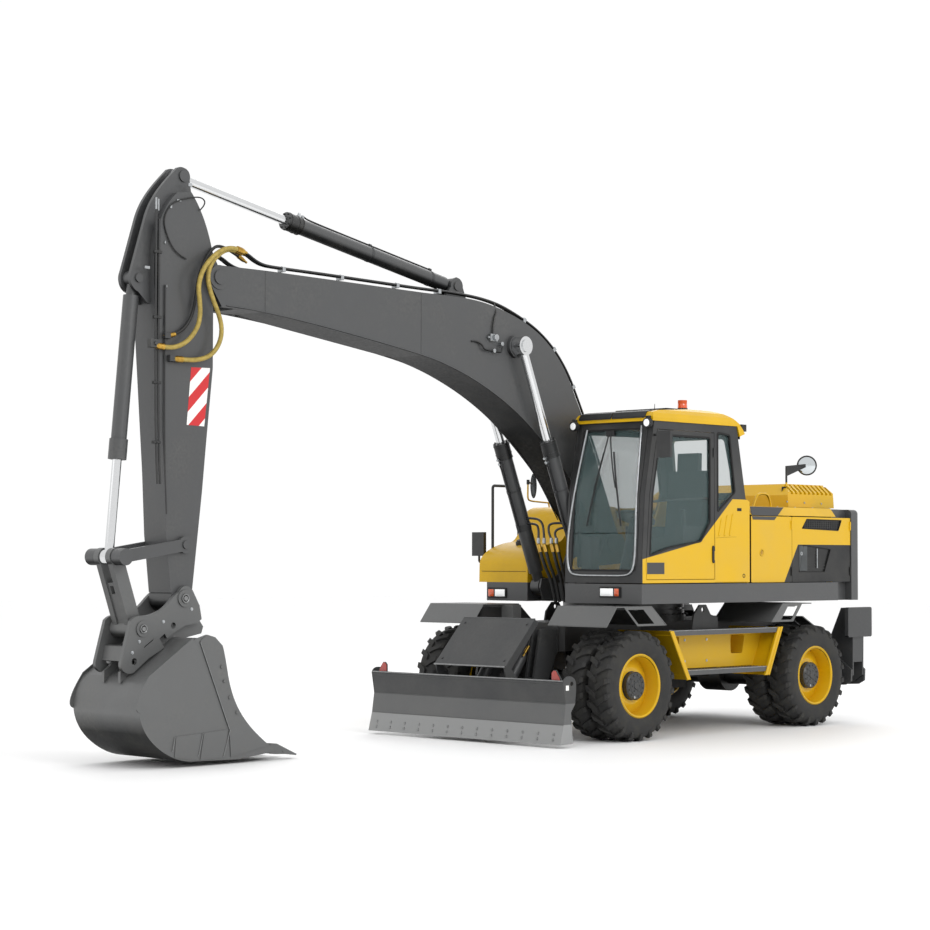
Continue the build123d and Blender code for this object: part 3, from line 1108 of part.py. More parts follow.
bucket_side = [
    (5872, 1056), (5746, 1092), (5660, 1070), (5578, 996),
    [(5545, 880), (5510, 720), (5436, 520), (5296, 330), (5180, 225), (5058, 134)],
    (4990, 110), (5409, 35), (5885, 46), [(6060, 78), (6225, 160), (6368, 292), (6440, 470), (6414, 627), (6330, 751)],
]
bucket_inner = [
    (5860, 1030), (5740, 1200), (5600, 1200), [(5530, 850), (5490, 710), (5400, 520), (5262, 350), (5150, 245), (5030, 150)],
    (4930, 104), (5409, 55), (5880, 68), [(6052, 99), (6212, 178), (6350, 304), (6418, 472), (6394, 618), (6314, 734)],
]
with BuildPart() as bucket:
    smooth_plate(bucket_side, *gear_span(bucket_half))
    smooth_plate(bucket_inner, *gear_span(bucket_half - 16), Mode.SUBTRACT)
    for low, high in both_sides(bucket_half - 4, bucket_half + 8):
        # side cutter ahead of the seam, then the wear plates along the heel
        smooth_plate([(5819, 1040), (5746, 1092), (5660, 1070), (5578, 996),
                      [(5545, 880), (5510, 720), (5436, 520), (5296, 330), (5180, 225), (5058, 134)], (5480, 60), (5500, 290)], low, high)
        for outline in ([(5520, 292), (5545, 62), (5810, 50), (5770, 276)], [(5800, 276), (5832, 52), (6080, 92), (6066, 262)]):
            side_plate(outline, low, high - 2)
        # rolled edge of the back band
        smooth_plate([(5885, 1040), (6330, 738), [(6402, 618), (6428, 470)], [(6456, 480), (6430, 640), (6344, 768)], (5893, 1068)], low, high - 4)
    # cutting lip and teeth
    side_plate([(5083, 139), (4964, 115), (4945, 88), (5120, 62), (5409, 33), (5409, 57)], *gear_span(bucket_half))
    for index in range(5):
        y = gear_y + (index - 2) * (2 * bucket_half - 110) / 4
        side_plate([(5060, 150), (4950, 140), (4722, 38), (4730, 28), (4960, 60), (5060, 66)], y - 38, y + 38)
    # ears welded on the back, with the two coupler pins
    for low, high in both_sides(96, 126):
        side_plate([(5700, 1060), (5540, 1090), (5520, 1149), (5560, 1200), (5640, 1200), (5850, 1130), (6200, 930), (6390, 790),
                    (6390, 700), (6330, 745), (5872, 1050)], low, high)
bucket.part.label = "bucket"

# =====================================================================================
# Every piece moves so that the origin is under the middle of the footprint box
# =====================================================================================
pieces = [
    ("chassis_frame", chassis_frame), ("slew_ring", slew_ring), ("front_axle", front_axle), ("rear_axle", rear_axle),
    ("drive_line", drive_line), ("side_steps", side_steps), ("fenders", fenders), ("blade_mount", blade_mount),
    ("stabiliser_mount", stabiliser_mount), ("knuckle_left", knuckle_left), ("knuckle_right", knuckle_right),
    ("tie_rod", tie_rod), ("blade", blade), ("blade_barrels", blade_barrels), ("blade_rods", blade_rods),
    ("stabiliser_left", stabiliser_left), ("stabiliser_right", stabiliser_right), ("leg_barrel_left", leg_barrel_left),
    ("leg_barrel_right", leg_barrel_right), ("leg_rod_left", leg_rod_left), ("leg_rod_right", leg_rod_right),
    ("upper_frame", upper_frame), ("counterweight", counterweight), ("engine_hood", engine_hood),
    ("engine_block", engine_block), ("hood_lid", hood_lid), ("middle_door_left", middle_door_left),
    ("rear_door_left", rear_door_left), ("rear_door_right", rear_door_right), ("side_tank", side_tank),
    ("cab_shell", cab_shell), ("cab_roof", cab_roof), ("cab_glass", cab_glass), ("cab_interior", cab_interior),
    ("cab_door", cab_door), ("door_glass", door_glass), ("mirrors_and_rails", mirrors_and_rails), ("lamps", lamps), ("boom", boom),
    ("boom_barrels", boom_barrels), ("boom_rods", boom_rods), ("arm_barrel", arm_barrel), ("arm_rod", arm_rod),
    ("arm", arm), ("bucket_barrel", bucket_barrel), ("bucket_rod", bucket_rod), ("rocker", rocker),
    ("bucket_link", bucket_link), ("quick_coupler", quick_coupler), ("bucket", bucket),
] + list(wheels.items())

boxes = [piece.part.bounding_box() for name, piece in pieces]
middle_x = (max(box.max.X for box in boxes) + min(box.min.X for box in boxes)) / 2
for name, piece in pieces:
    solid = piece.part.moved(Location((-middle_x, 0, 0)))
    solid.label = name
    export_step(solid, f"parts/{name}.step")
print(len(pieces), "pieces, middle at", round(middle_x, 3))
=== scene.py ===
from math import cos, pi, radians, sin

import bmesh
import bpy
from mathutils import Matrix, Vector


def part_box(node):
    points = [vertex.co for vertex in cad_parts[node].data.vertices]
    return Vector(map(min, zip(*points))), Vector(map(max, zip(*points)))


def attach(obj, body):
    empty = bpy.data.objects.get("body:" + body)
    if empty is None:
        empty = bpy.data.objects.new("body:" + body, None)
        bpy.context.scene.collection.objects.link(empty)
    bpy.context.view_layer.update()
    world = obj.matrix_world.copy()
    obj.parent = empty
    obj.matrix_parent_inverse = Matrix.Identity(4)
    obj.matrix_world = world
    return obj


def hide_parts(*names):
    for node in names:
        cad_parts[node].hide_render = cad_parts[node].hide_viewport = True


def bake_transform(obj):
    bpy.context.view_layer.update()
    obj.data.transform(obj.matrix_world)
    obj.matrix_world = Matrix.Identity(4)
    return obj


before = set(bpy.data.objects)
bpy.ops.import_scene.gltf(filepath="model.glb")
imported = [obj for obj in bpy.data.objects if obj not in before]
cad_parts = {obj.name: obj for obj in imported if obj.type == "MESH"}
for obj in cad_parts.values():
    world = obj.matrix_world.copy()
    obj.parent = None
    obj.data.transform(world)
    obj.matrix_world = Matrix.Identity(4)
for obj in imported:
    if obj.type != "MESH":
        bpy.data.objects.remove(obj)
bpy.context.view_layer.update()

ringLow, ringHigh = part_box("slew_ring")
swingX = (ringLow[0] + ringHigh[0]) / 2  # pieces are drawn from the swing axis and moved here at the end
axles = {"Front": 1.24, "Rear": -1.61}
wheelZ = 0.525
gearY = -0.15  # middle plane of boom, arm and bucket


# colours and shader nodes
def hexColour(code, share=1.0):
    # linear colour of a hex code; share makes it darker or lighter
    channels = [int(code[i:i + 2], 16) / 255 for i in (0, 2, 4)]
    linear = [c / 12.92 if c <= 0.04045 else ((c + 0.055) / 1.055) ** 2.4 for c in channels]
    return (*(min(1.0, c * share) for c in linear), 1.0)


def addNode(tree, kind, settings=None, links=None):
    node = tree.nodes.new(kind)
    for key, value in (settings or {}).items():
        if isinstance(key, int) or key in node.inputs:
            node.inputs[key].default_value = value
        else:
            setattr(node, key, value)
    for key, source in (links or {}).items():
        tree.links.new(source, node.inputs[key])
    return node


def newMaterial(name, settings):
    material = bpy.data.materials.new(name)
    material.use_nodes = True
    shader = material.node_tree.nodes["Principled BSDF"]
    for key, value in settings.items():
        shader.inputs[key].default_value = value
    return material, material.node_tree, shader


def coordinates(tree, kind="Object"):
    return addNode(tree, "ShaderNodeTexCoord").outputs[kind]


def split(tree, vector):
    return addNode(tree, "ShaderNodeSeparateXYZ", {}, {"Vector": vector}).outputs


def noise(tree, place, scale, detail, **more):
    settings = {"Scale": scale, "Detail": detail, **more}
    return addNode(tree, "ShaderNodeTexNoise", settings, {"Vector": place}).outputs["Fac"]


def ramp(tree, source, low, high, lowValue=0.0, highValue=1.0):
    limits = {"From Min": low, "From Max": high, "To Min": lowValue, "To Max": highValue}
    return addNode(tree, "ShaderNodeMapRange", limits, {"Value": source}).outputs[0]


def mathNode(tree, operation, first, second=0.0):
    settings, links = {"operation": operation}, {}
    for index, value in enumerate((first, second)):
        (settings if isinstance(value, (int, float)) else links)[index] = value
    return addNode(tree, "ShaderNodeMath", settings, links).outputs[0]


def blendColours(tree, factor, first, second):
    mix = addNode(tree, "ShaderNodeMix", {"data_type": "RGBA"}, {0: factor})
    for slot, source in ((6, first), (7, second)):
        if isinstance(source, tuple):
            mix.inputs[slot].default_value = source
        else:
            tree.links.new(source, mix.inputs[slot])
    return mix.outputs[2]


def bumpFrom(tree, shader, height, distance, strength):
    bump = addNode(tree, "ShaderNodeBump", {"Strength": strength, "Distance": distance}, {"Height": height})
    tree.links.new(bump.outputs["Normal"], shader.inputs["Normal"])


def enamelSurface(tree, shader, place, grain, roughness):
    # uneven gloss and faint orange peel
    tree.links.new(ramp(tree, grain, 0.3, 0.7, roughness - 0.04, roughness + 0.06), shader.inputs["Roughness"])
    bumpFrom(tree, shader, noise(tree, place, 160.0, 2.0), 0.0006, 0.25)


# finishes
def sprayedEnamel(name, colour, roughness, coat, dust=0.12, dustColour="8d8a82", gloss=0.5):
    # two-pack enamel sprayed on welded steel: a soft gloss, faint orange peel, a patchy film of dust, and painted shade
    # on faces that point down
    material, tree, shader = newMaterial(name, {"Roughness": roughness, "IOR": 1.5, "Coat Roughness": 0.18})
    place = coordinates(tree)
    cloud, grain = noise(tree, place, 2.1, 5.0, Roughness=0.6), noise(tree, place, 38.0, 3.0)
    base = blendColours(tree, ramp(tree, cloud, 0.35, 0.7), hexColour(colour), hexColour(colour, 0.86))
    # painted shade: faces that point down, in the piece's own coordinates, are darkened and lose most of their sheen
    downFacingShade = ramp(tree, split(tree, coordinates(tree, "Normal"))[2], -0.15, -0.6)
    base = blendColours(tree, downFacingShade, base, hexColour(colour, 0.22))  # painted shade on faces that point down
    # the painted shade also takes the specular sheen and coat off those faces
    for socket, full in (("Specular IOR Level", gloss), ("Coat Weight", coat)):
        tree.links.new(ramp(tree, downFacingShade, 0.0, 1.0, full, full * 0.08), shader.inputs[socket])
    film = mathNode(tree, "MULTIPLY", ramp(tree, cloud, 0.45, 0.75, 0.0, dust), ramp(tree, grain, 0.3, 0.7))
    tree.links.new(blendColours(tree, film, base, hexColour(dustColour)), shader.inputs["Base Color"])
    enamelSurface(tree, shader, place, grain, roughness)
    return material


def twoToneEnamel(name, upper, lower, roughness, coat, mask, gloss=0.3):
    # a mask in the piece's own coordinates picks between two enamels' colours
    material, tree, shader = newMaterial(name, {"Roughness": roughness, "IOR": 1.5, "Coat Weight": coat,
        "Coat Roughness": 0.18, "Specular IOR Level": gloss})
    place = coordinates(tree)
    cloud, grain = noise(tree, place, 2.1, 5.0, Roughness=0.6), noise(tree, place, 38.0, 3.0)
    colour = blendColours(tree, mask(tree, split(tree, place)), hexColour(lower), hexColour(upper))
    dusty = blendColours(tree, ramp(tree, cloud, 0.35, 0.75, 0.0, 0.1), colour, hexColour("8d8a82"))
    tree.links.new(dusty, shader.inputs["Base Color"])
    enamelSurface(tree, shader, place, grain, roughness)
    return material


def mouldedBlack(name, colour, roughness, grainSize):
    # injection-moulded polypropylene with a fine spark-eroded grain
    material, tree, shader = newMaterial(name, {"Roughness": roughness, "IOR": 1.48})
    place = coordinates(tree)
    wear = ramp(tree, noise(tree, place, 6.0, 4.0), 0.45, 0.75)
    tree.links.new(blendColours(tree, wear, hexColour(colour), hexColour(colour, 1.7)), shader.inputs["Base Color"])
    bumpFrom(tree, shader, noise(tree, place, 1000.0 / grainSize, 2.0), 0.0008, 0.35)
    return material


def bareMetal(name, colour, roughness, stretch=(1.0, 1.0, 1.0), wear=0.08, depth=0.72, grain=30.0):
    # turned or ground metal: fine marks drawn out along one axis
    material, tree, shader = newMaterial(name, {"Metallic": 1.0, "Roughness": roughness})
    drawn = addNode(tree, "ShaderNodeMapping", {"Scale": stretch}, {"Vector": coordinates(tree)})
    marks = noise(tree, drawn.outputs["Vector"], grain, 3.0)
    tree.links.new(blendColours(tree, ramp(tree, marks, 0.35, 0.7), hexColour(colour), hexColour(colour, depth)),
        shader.inputs["Base Color"])
    tree.links.new(ramp(tree, marks, 0.3, 0.7, roughness - wear / 2, roughness + wear), shader.inputs["Roughness"])
    return material


def seatedCloth():
    # woven polyester over foam: a dull charcoal with a small twill, drawn at 5 mm
    material, tree, shader = newMaterial("wovenSeatCloth", {"Roughness": 0.92, "Sheen Weight": 0.35})
    twill = addNode(tree, "ShaderNodeTexWave", {"Scale": 60.0, "bands_direction": "DIAGONAL", "Distortion": 1.5},
        {"Vector": coordinates(tree)}).outputs["Fac"]
    tree.links.new(blendColours(tree, twill, hexColour("262a2c"), hexColour("3a3f41")), shader.inputs["Base Color"])
    bumpFrom(tree, shader, twill, 0.001, 0.4)
    return material


def tyreCompound():
    # carbon-black rubber, moulded: dull, greyer where it is scuffed and dusty
    material, tree, shader = newMaterial("tyreRubber", {"Roughness": 0.78, "IOR": 1.52})
    place = coordinates(tree)
    scuff = noise(tree, place, 9.0, 6.0, Roughness=0.65)
    tree.links.new(blendColours(tree, ramp(tree, scuff, 0.42, 0.72), hexColour("1c1c1c"), hexColour("34332f")),
        shader.inputs["Base Color"])
    tree.links.new(ramp(tree, scuff, 0.3, 0.7, 0.62, 0.85), shader.inputs["Roughness"])
    bumpFrom(tree, shader, noise(tree, place, 120.0, 3.0), 0.0012, 0.5)
    return material


def cabGlazing():
    # 6 mm toughened glass with a light green-grey tint
    material = newMaterial("tintedSafetyGlass", {"Roughness": 0.03, "IOR": 1.5, "Base Color": hexColour("566b6b"),
        "Alpha": 0.28, "Specular IOR Level": 0.7})[0]
    material.surface_render_method = "BLENDED"
    return material


def reflectiveStripes():
    # retro-reflective sheeting: red and white bars at 45 degrees
    material, tree, shader = newMaterial("reflectiveSheeting", {"Roughness": 0.35, "Coat Weight": 0.3})
    place = coordinates(tree)
    axes = split(tree, place)
    count = mathNode(tree, "MULTIPLY", mathNode(tree, "ADD", axes[2], axes[0]), 1 / 0.235)
    bar = mathNode(tree, "GREATER_THAN", mathNode(tree, "FRACT", count), 0.5)
    cells = addNode(tree, "ShaderNodeTexVoronoi", {"Scale": 90.0}, {"Vector": place})
    tree.links.new(blendColours(tree, bar, hexColour("c3161c"), hexColour("e9e9e6")), shader.inputs["Base Color"])
    bumpFrom(tree, shader, cells.outputs["Distance"], 0.0004, 0.2)
    return material


def plainFinish(name, colour, roughness, **extra):
    settings = {"Base Color": hexColour(colour), "Roughness": roughness}
    settings.update({key.replace("_", " "): value for key, value in extra.items()})
    return newMaterial(name, settings)[0]


yellowCode = "d6aa0a"
yellowEnamel = sprayedEnamel("yellowEnamel", yellowCode, 0.34, 0.1, 0.10, "b99a4a", 0.3)
greyEnamel = sprayedEnamel("darkGreyEnamel", "434445", 0.42, 0.25)
bucketEnamel = sprayedEnamel("bucketGreyEnamel", "5a5b5b", 0.45, 0.2, 0.2)
chassisEnamel = sprayedEnamel("chassisGreyEnamel", "38393a", 0.5, 0.15, 0.2)
blackEnamel = sprayedEnamel("blackEnamel", "1d1e1f", 0.45, 0.2, 0.15)
castSteel = sprayedEnamel("greyCastSteel", "3c3d3e", 0.6, 0.0, 0.25)
chromeRod = bareMetal("hardChromedRod", "d9dadb", 0.12, wear=0.02, depth=0.93, grain=90.0)
groundSteel = bareMetal("wornGroundSteel", "8f9090", 0.34, (8.0, 1.0, 1.0))
goldZinc = bareMetal("yellowPassivatedZinc", "c7a04c", 0.32)
silverZinc = bareMetal("brightZinc", "b9bcbe", 0.3)
tyreRubber = tyreCompound()
blackPlastic = mouldedBlack("grainedPolypropylene", "1b1c1d", 0.55, 3.0)
greyPlastic = mouldedBlack("grainedGreyTrim", "3d4041", 0.6, 3.0)
sealRubber = mouldedBlack("extrudedSealRubber", "121212", 0.7, 5.0)
hoseRubber = mouldedBlack("braidedHoseCover", "161616", 0.5, 4.0)
seatCloth = seatedCloth()
sleeveGold = bareMetal("nylonSleeveOverHose", "b09a4e", 0.55)
sleeveGold.node_tree.nodes["Principled BSDF"].inputs["Metallic"].default_value = 0.25
glazing = cabGlazing()
stripeSheet = reflectiveStripes()
greyBlank = plainFinish("bareGreyPanel", "3a3b3d", 0.4)
mirrorGlass = plainFinish("silveredMirror", "c9ced0", 0.04, Metallic=1.0)
lampLens = plainFinish("clearLampLens", "f2f4f4", 0.08, Coat_Weight=1.0, Emission_Color=hexColour("ffffff"),
    Emission_Strength=0.25)
amberLens = plainFinish("amberAcrylic", "e0581a", 0.12, Coat_Weight=1.0, Subsurface_Weight=0.3)
redLens = plainFinish("redAcrylic", "a3352c", 0.25, Coat_Weight=0.6)
whiteSticker = plainFinish("whiteReflector", "f1f1ee", 0.35)


# masks of the two-tone finishes
def above(tree, height, level):
    return mathNode(tree, "GREATER_THAN", height, level)


def cabBoundary(tree, axes):
    # dark above a line that falls from the rear window to the foot of the front pillar, and all over the front face
    rear = ramp(tree, axes[0], swingX - 0.22, swingX + 0.29, 2.33, 1.9)
    front = ramp(tree, axes[0], swingX + 0.29, swingX + 1.18, 0.0, -0.17)
    high = above(tree, axes[2], mathNode(tree, "ADD", rear, front))
    return mathNode(tree, "MAXIMUM", high, above(tree, axes[0], swingX + 1.188))


def doorBoundary(tree, axes):
    # dark below a level line and behind a diagonal that drops forward from it; painted shade in the recesses behind the
    # outer skin
    drop = ramp(tree, axes[0], swingX - 1.355, swingX - 1.11, 1.884, 1.489)
    # painted shade: faces set in behind the outer skin take the dark colour
    skin = above(tree, mathNode(tree, "ABSOLUTE", axes[1]), 1.2178)
    return mathNode(tree, "MULTIPLY", above(tree, axes[2], drop), skin)


def boxMask(tree, axes):
    # the tool boxes out to each side are yellow, the rest of the chassis and the lifting eyes grey
    wide = above(tree, mathNode(tree, "ABSOLUTE", axes[1]), 0.83)
    return mathNode(tree, "MULTIPLY", wide, mathNode(tree, "LESS_THAN", axes[2], 0.988))


def heightMask(level):
    return lambda tree, axes: above(tree, axes[2], level)


def bladeBands(tree, axes):
    # worn light at the foot, then two darker folds
    middle = mathNode(tree, "MULTIPLY", above(tree, axes[2], 0.215), 0.72)
    top = mathNode(tree, "MULTIPLY", above(tree, axes[2], 0.405), 0.28)
    return mathNode(tree, "ADD", middle, top)


def hubMask(axleX):
    def mask(tree, axes):
        across, height = mathNode(tree, "SUBTRACT", axes[0], axleX), mathNode(tree, "SUBTRACT", axes[2], wheelZ)
        square = mathNode(tree, "ADD", mathNode(tree, "MULTIPLY", across, across),
            mathNode(tree, "MULTIPLY", height, height))
        return mathNode(tree, "LESS_THAN", square, 0.139 ** 2)
    return mask


cabEnamel = twoToneEnamel("cabTwoTone", "2c2d2e", yellowCode, 0.34, 0.1, cabBoundary)
rearDoorEnamel = twoToneEnamel("rearDoorTwoTone", yellowCode, "161718", 0.34, 0.1, doorBoundary)
lidEnamel = twoToneEnamel("lidTwoTone", "1f2021", yellowCode, 0.34, 0.1, heightMask(2.546))
lampHousing = twoToneEnamel("lampHousing", "d0521a", "1b1c1d", 0.5, 0.0, heightMask(3.238))
bladeEnamel = twoToneEnamel("bladeEnamel", "3c3d3e", "8c8d8d", 0.5, 0.1, bladeBands)
chassisTwoTone = twoToneEnamel("chassisTwoTone", yellowCode, "2e2f30", 0.45, 0.15, boxMask)
rimFront = twoToneEnamel("frontRimEnamel", "2c2e30", yellowCode, 0.35, 0.2, hubMask(swingX + axles["Front"]))
rimRear = twoToneEnamel("rearRimEnamel", "2c2e30", yellowCode, 0.35, 0.2, hubMask(swingX + axles["Rear"]))
print("finishes ready")

# camera
camera = {"place": (17.643, 14.851, 1.73), "look": (-0.717, -0.696, 0.042), "roll": 0.002, "lens": 86.35}
lensData = bpy.data.cameras.new("camera")
lensData.lens = camera["lens"]
lensData.sensor_width = 36
cameraObject = bpy.data.objects.new("camera", lensData)
bpy.context.scene.collection.objects.link(cameraObject)
cameraObject.location = Vector(camera["place"]) + Vector((swingX, 0, 0))
facing = Vector(camera["look"]).to_track_quat("-Z", "Y")
cameraObject.rotation_euler = (facing.to_matrix() @ Matrix.Rotation(camera["roll"], 3, "Z")).to_euler()
bpy.context.scene.camera = cameraObject

# floor and soft studio light
studio = {"floor": "fdfdfd", "world": 1.02, "key": 1150, "fill": 150, "rim": 350}
world = bpy.data.worlds.new("studio")
bpy.context.scene.world = world
world.use_nodes = True
world.node_tree.nodes["Background"].inputs["Color"].default_value = (1.0, 1.0, 1.0, 1.0)
world.node_tree.nodes["Background"].inputs["Strength"].default_value = studio["world"]
bm = bmesh.new()
bmesh.ops.create_grid(bm, x_segments=1, y_segments=1, size=60)
floorMesh = bpy.data.meshes.new("floor")
bm.to_mesh(floorMesh)
bm.free()
floor = bpy.data.objects.new("floor", floorMesh)
bpy.context.scene.collection.objects.link(floor)
floorMesh.materials.append(plainFinish("paleFloor", studio["floor"], 0.6))
for name, place, size, energy in (
    ("keyLight", (3, 17, 12), 9, studio["key"]),
    ("fillLight", (16, -6, 9), 10, studio["fill"]),
    ("rimLight", (-12, -7, 11), 9, studio["rim"]),
):
    lamp = bpy.data.lights.new(name, "AREA")
    lamp.size = size
    lamp.energy = energy
    lampObject = bpy.data.objects.new(name, lamp)
    bpy.context.scene.collection.objects.link(lampObject)
    lampObject.location = place
    lampObject.rotation_euler = (Vector((0, 0, 1.5)) - Vector(place)).to_track_quat("-Z", "Y").to_euler()
bpy.context.scene.view_settings.view_transform = "Standard"
bpy.context.scene.view_settings.look = "None"
print("camera, floor and lights ready")


# piece helpers: every mesh is drawn from the swing axis, in metres
def finishPiece(bm, name, material, body, slot, bevel=0.0, smooth=40, segments=2):
    bmesh.ops.remove_doubles(bm, verts=bm.verts, dist=0.00005)
    bmesh.ops.recalc_face_normals(bm, faces=bm.faces)
    bmesh.ops.translate(bm, verts=bm.verts, vec=(swingX, 0, 0))
    mesh = bpy.data.meshes.new(name)
    bm.to_mesh(mesh)
    bm.free()
    piece = bpy.data.objects.new(name, mesh)
    bpy.context.scene.collection.objects.link(piece)
    mesh.materials.append(material)
    if bevel:
        rounding = piece.modifiers.new("rounding", "BEVEL")
        rounding.width = bevel
        rounding.segments = segments
        rounding.limit_method = "ANGLE"
        rounding.angle_limit = radians(35)
        rounding.harden_normals = True
    mesh.shade_smooth()
    mesh.set_sharp_from_angle(angle=radians(smooth))
    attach(piece, body)
    return piece


def addBlock(bm, low, high):
    grown = bmesh.ops.create_cube(bm, size=1.0)["verts"]
    bmesh.ops.scale(bm, verts=grown, vec=[h - l for l, h in zip(low, high)])
    bmesh.ops.translate(bm, verts=grown, vec=[(l + h) / 2 for l, h in zip(low, high)])
    return grown


def addRod(bm, start, end, radius, endRadius=None, segments=20):
    start, end = Vector(start), Vector(end)
    turn = (end - start).to_track_quat("Z", "Y").to_matrix().to_4x4()
    place = Matrix.Translation((start + end) / 2) @ turn
    grown = bmesh.ops.create_cone(bm, cap_ends=True, cap_tris=False, segments=segments, radius1=radius,
        radius2=radius if endRadius is None else endRadius, depth=(end - start).length, matrix=place)
    return grown["verts"]


def addPlate(bm, corners, push):
    # a flat outline pushed out to a plate
    verts = [bm.verts.new(corner) for corner in corners]
    face = bm.faces.new(verts)
    pushed = bmesh.ops.extrude_face_region(bm, geom=[face])["geom"]
    moved = [v for v in pushed if isinstance(v, bmesh.types.BMVert)]
    bmesh.ops.translate(bm, verts=moved, vec=push)
    return verts + moved


def sidePlate(bm, outline, lowY, highY):
    return addPlate(bm, [(x, lowY, z) for x, z in outline], (0, highY - lowY, 0))


def rodPiece(name, rods, *finish, **look):
    bm = bmesh.new()
    for rod in rods:
        addRod(bm, *rod)
    return finishPiece(bm, name, *finish, **look)


def blockPiece(name, corners, *finish, **look):
    bm = bmesh.new()
    for low, high in corners:
        addBlock(bm, low, high)
    return finishPiece(bm, name, *finish, **look)


def platePiece(name, outlines, *finish, **look):
    bm = bmesh.new()
    for outline, low, high in outlines:
        sidePlate(bm, outline, low, high)
    return finishPiece(bm, name, *finish, **look)


def addTurned(bm, points, centre, axis, steps):
    # an open profile turned once about an axis
    verts = [bm.verts.new(point) for point in points]
    edges = [bm.edges.new(pair) for pair in zip(verts, verts[1:])]
    bmesh.ops.spin(bm, geom=verts + edges, cent=centre, axis=axis, angle=2 * pi, steps=steps, use_merge=True)


def addRing(bm, profile, centre, steps):
    # profile: (radius, distance along the axis) pairs, turned about an axis along Y
    addTurned(bm, [(centre[0] + r, centre[1] + d, centre[2]) for r, d in profile], centre, (0, 1, 0), steps)


def addBolts(bm, places, axis, radius, height):
    # hexagon heads standing on a face
    for place in places:
        start = Vector(place)
        addRod(bm, start, start + Vector(axis) * height, radius, segments=6)
        addRod(bm, start, start + Vector(axis) * height * 0.25, radius * 1.25, segments=16)


def addPipe(name, points, radius, material, body, order=3):
    curve = bpy.data.curves.new(name, "CURVE")
    curve.dimensions = "3D"
    curve.bevel_depth = radius
    curve.bevel_resolution = 3
    curve.resolution_u = 8
    curve.use_fill_caps = True
    spline = curve.splines.new("NURBS")
    spline.points.add(len(points) - 1)
    for point, place in zip(spline.points, points):
        point.co = (place[0] + swingX, place[1], place[2], 1.0)
    spline.order_u = order
    spline.use_endpoint_u = True
    curve.materials.append(material)
    pipe = bpy.data.objects.new(name, curve)
    bpy.context.scene.collection.objects.link(pipe)
    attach(pipe, body)
    return pipe


# finishes of the pieces that come with the frame
nodeFinish = {
    yellowEnamel: ["engine_hood", "side_tank", "side_steps", "cab_roof"],
    cabEnamel: ["cab_shell", "cab_door"],
    rearDoorEnamel: ["rear_door_left", "rear_door_right", "middle_door_left"],
    lidEnamel: ["hood_lid"],
    rimFront: ["rim_front_left", "rim_front_right"],
    rimRear: ["rim_rear_left", "rim_rear_right"],
    greyEnamel: ["upper_frame", "boom", "boom_barrels", "arm_barrel", "arm", "bucket_barrel", "rocker",
        "counterweight"],
    bucketEnamel: ["bucket", "quick_coupler", "bucket_link", "fenders"],
    bladeEnamel: ["blade"],
    chassisTwoTone: ["chassis_frame"],
    chassisEnamel: ["blade_mount", "stabiliser_mount", "stabiliser_left", "stabiliser_right", "blade_barrels"],
    blackEnamel: ["slew_ring", "front_axle", "rear_axle", "drive_line", "knuckle_left", "knuckle_right",
        "leg_barrel_left", "leg_barrel_right", "mirrors_and_rails"],
    lampHousing: ["lamps"],
    castSteel: ["engine_block"],
    chromeRod: ["boom_rods", "arm_rod", "bucket_rod", "leg_rod_left", "leg_rod_right", "blade_rods"],
    groundSteel: ["tie_rod"],
    glazing: ["cab_glass", "door_glass"],
    seatCloth: ["cab_interior"],
    tyreRubber: ["tyres_front_left", "tyres_front_right", "tyres_rear_left", "tyres_rear_right"],
}
for finish, nodeNames in nodeFinish.items():
    for nodeName in nodeNames:
        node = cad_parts[nodeName]
        node.data.materials.clear()
        node.data.materials.append(finish)
print("frame pieces finished")


# smooth tube swept along a route, with an optional ribbed sleeve
def smoothPath(points, steps=10, closed=False):
    curve = bpy.data.curves.new("route", "CURVE")
    curve.dimensions = "3D"
    curve.resolution_u = steps
    spline = curve.splines.new("NURBS")
    spline.points.add(len(points) - 1)
    for point, place in zip(spline.points, points):
        point.co = (*place, 1.0)
    spline.order_u = 3
    spline.use_endpoint_u = not closed
    spline.use_cyclic_u = closed
    holder = bpy.data.objects.new("route", curve)
    route = bpy.data.meshes.new_from_object(holder)
    path = [v.co.copy() for v in route.vertices]
    bpy.data.meshes.remove(route)
    bpy.data.objects.remove(holder)
    bpy.data.curves.remove(curve)
    return path


def circleVerts(bm, centre, side, up, radius, segments):
    angles = [2 * pi * k / segments for k in range(segments)]
    return [bm.verts.new(centre + (side * cos(a) + up * sin(a)) * radius) for a in angles]


def addTube(bm, path, radius, segments=12, ribs=0.0, pitch=0.011, closed=False):
    # parallel-transported rings; ribs gives the sleeve's wave height
    if ribs:
        finer = [path[0]]
        for a, b in zip(path, path[1:]):
            pieces = max(1, round((b - a).length / (pitch / 4)))
            finer += [a.lerp(b, (k + 1) / pieces) for k in range(pieces)]
        path = finer
    last = len(path) - 1
    tangents = [(path[min(i + 1, last)] - path[max(i - 1, 0)]).normalized() for i in range(last + 1)]
    if closed:
        tangents[0] = tangents[last] = (path[1] - path[last]).normalized()
    normal = tangents[0].orthogonal().normalized()
    rings, run = [], 0.0
    for index, (place, tangent) in enumerate(zip(path, tangents)):
        normal = (normal - tangent * normal.dot(tangent)).normalized()
        binormal = tangent.cross(normal)
        if index:
            run += (place - path[index - 1]).length
        r = radius + (ribs * cos(2 * pi * run / pitch) if ribs else 0.0)
        rings.append(circleVerts(bm, place, normal, binormal, r, segments))
    for a, b in zip(rings, rings[1:] + rings[:1] if closed else rings[1:]):
        for k in range(segments):
            bm.faces.new((a[k], a[(k + 1) % segments], b[(k + 1) % segments], b[k]))
    if not closed:
        bm.faces.new(rings[0][::-1])
        bm.faces.new(rings[-1])


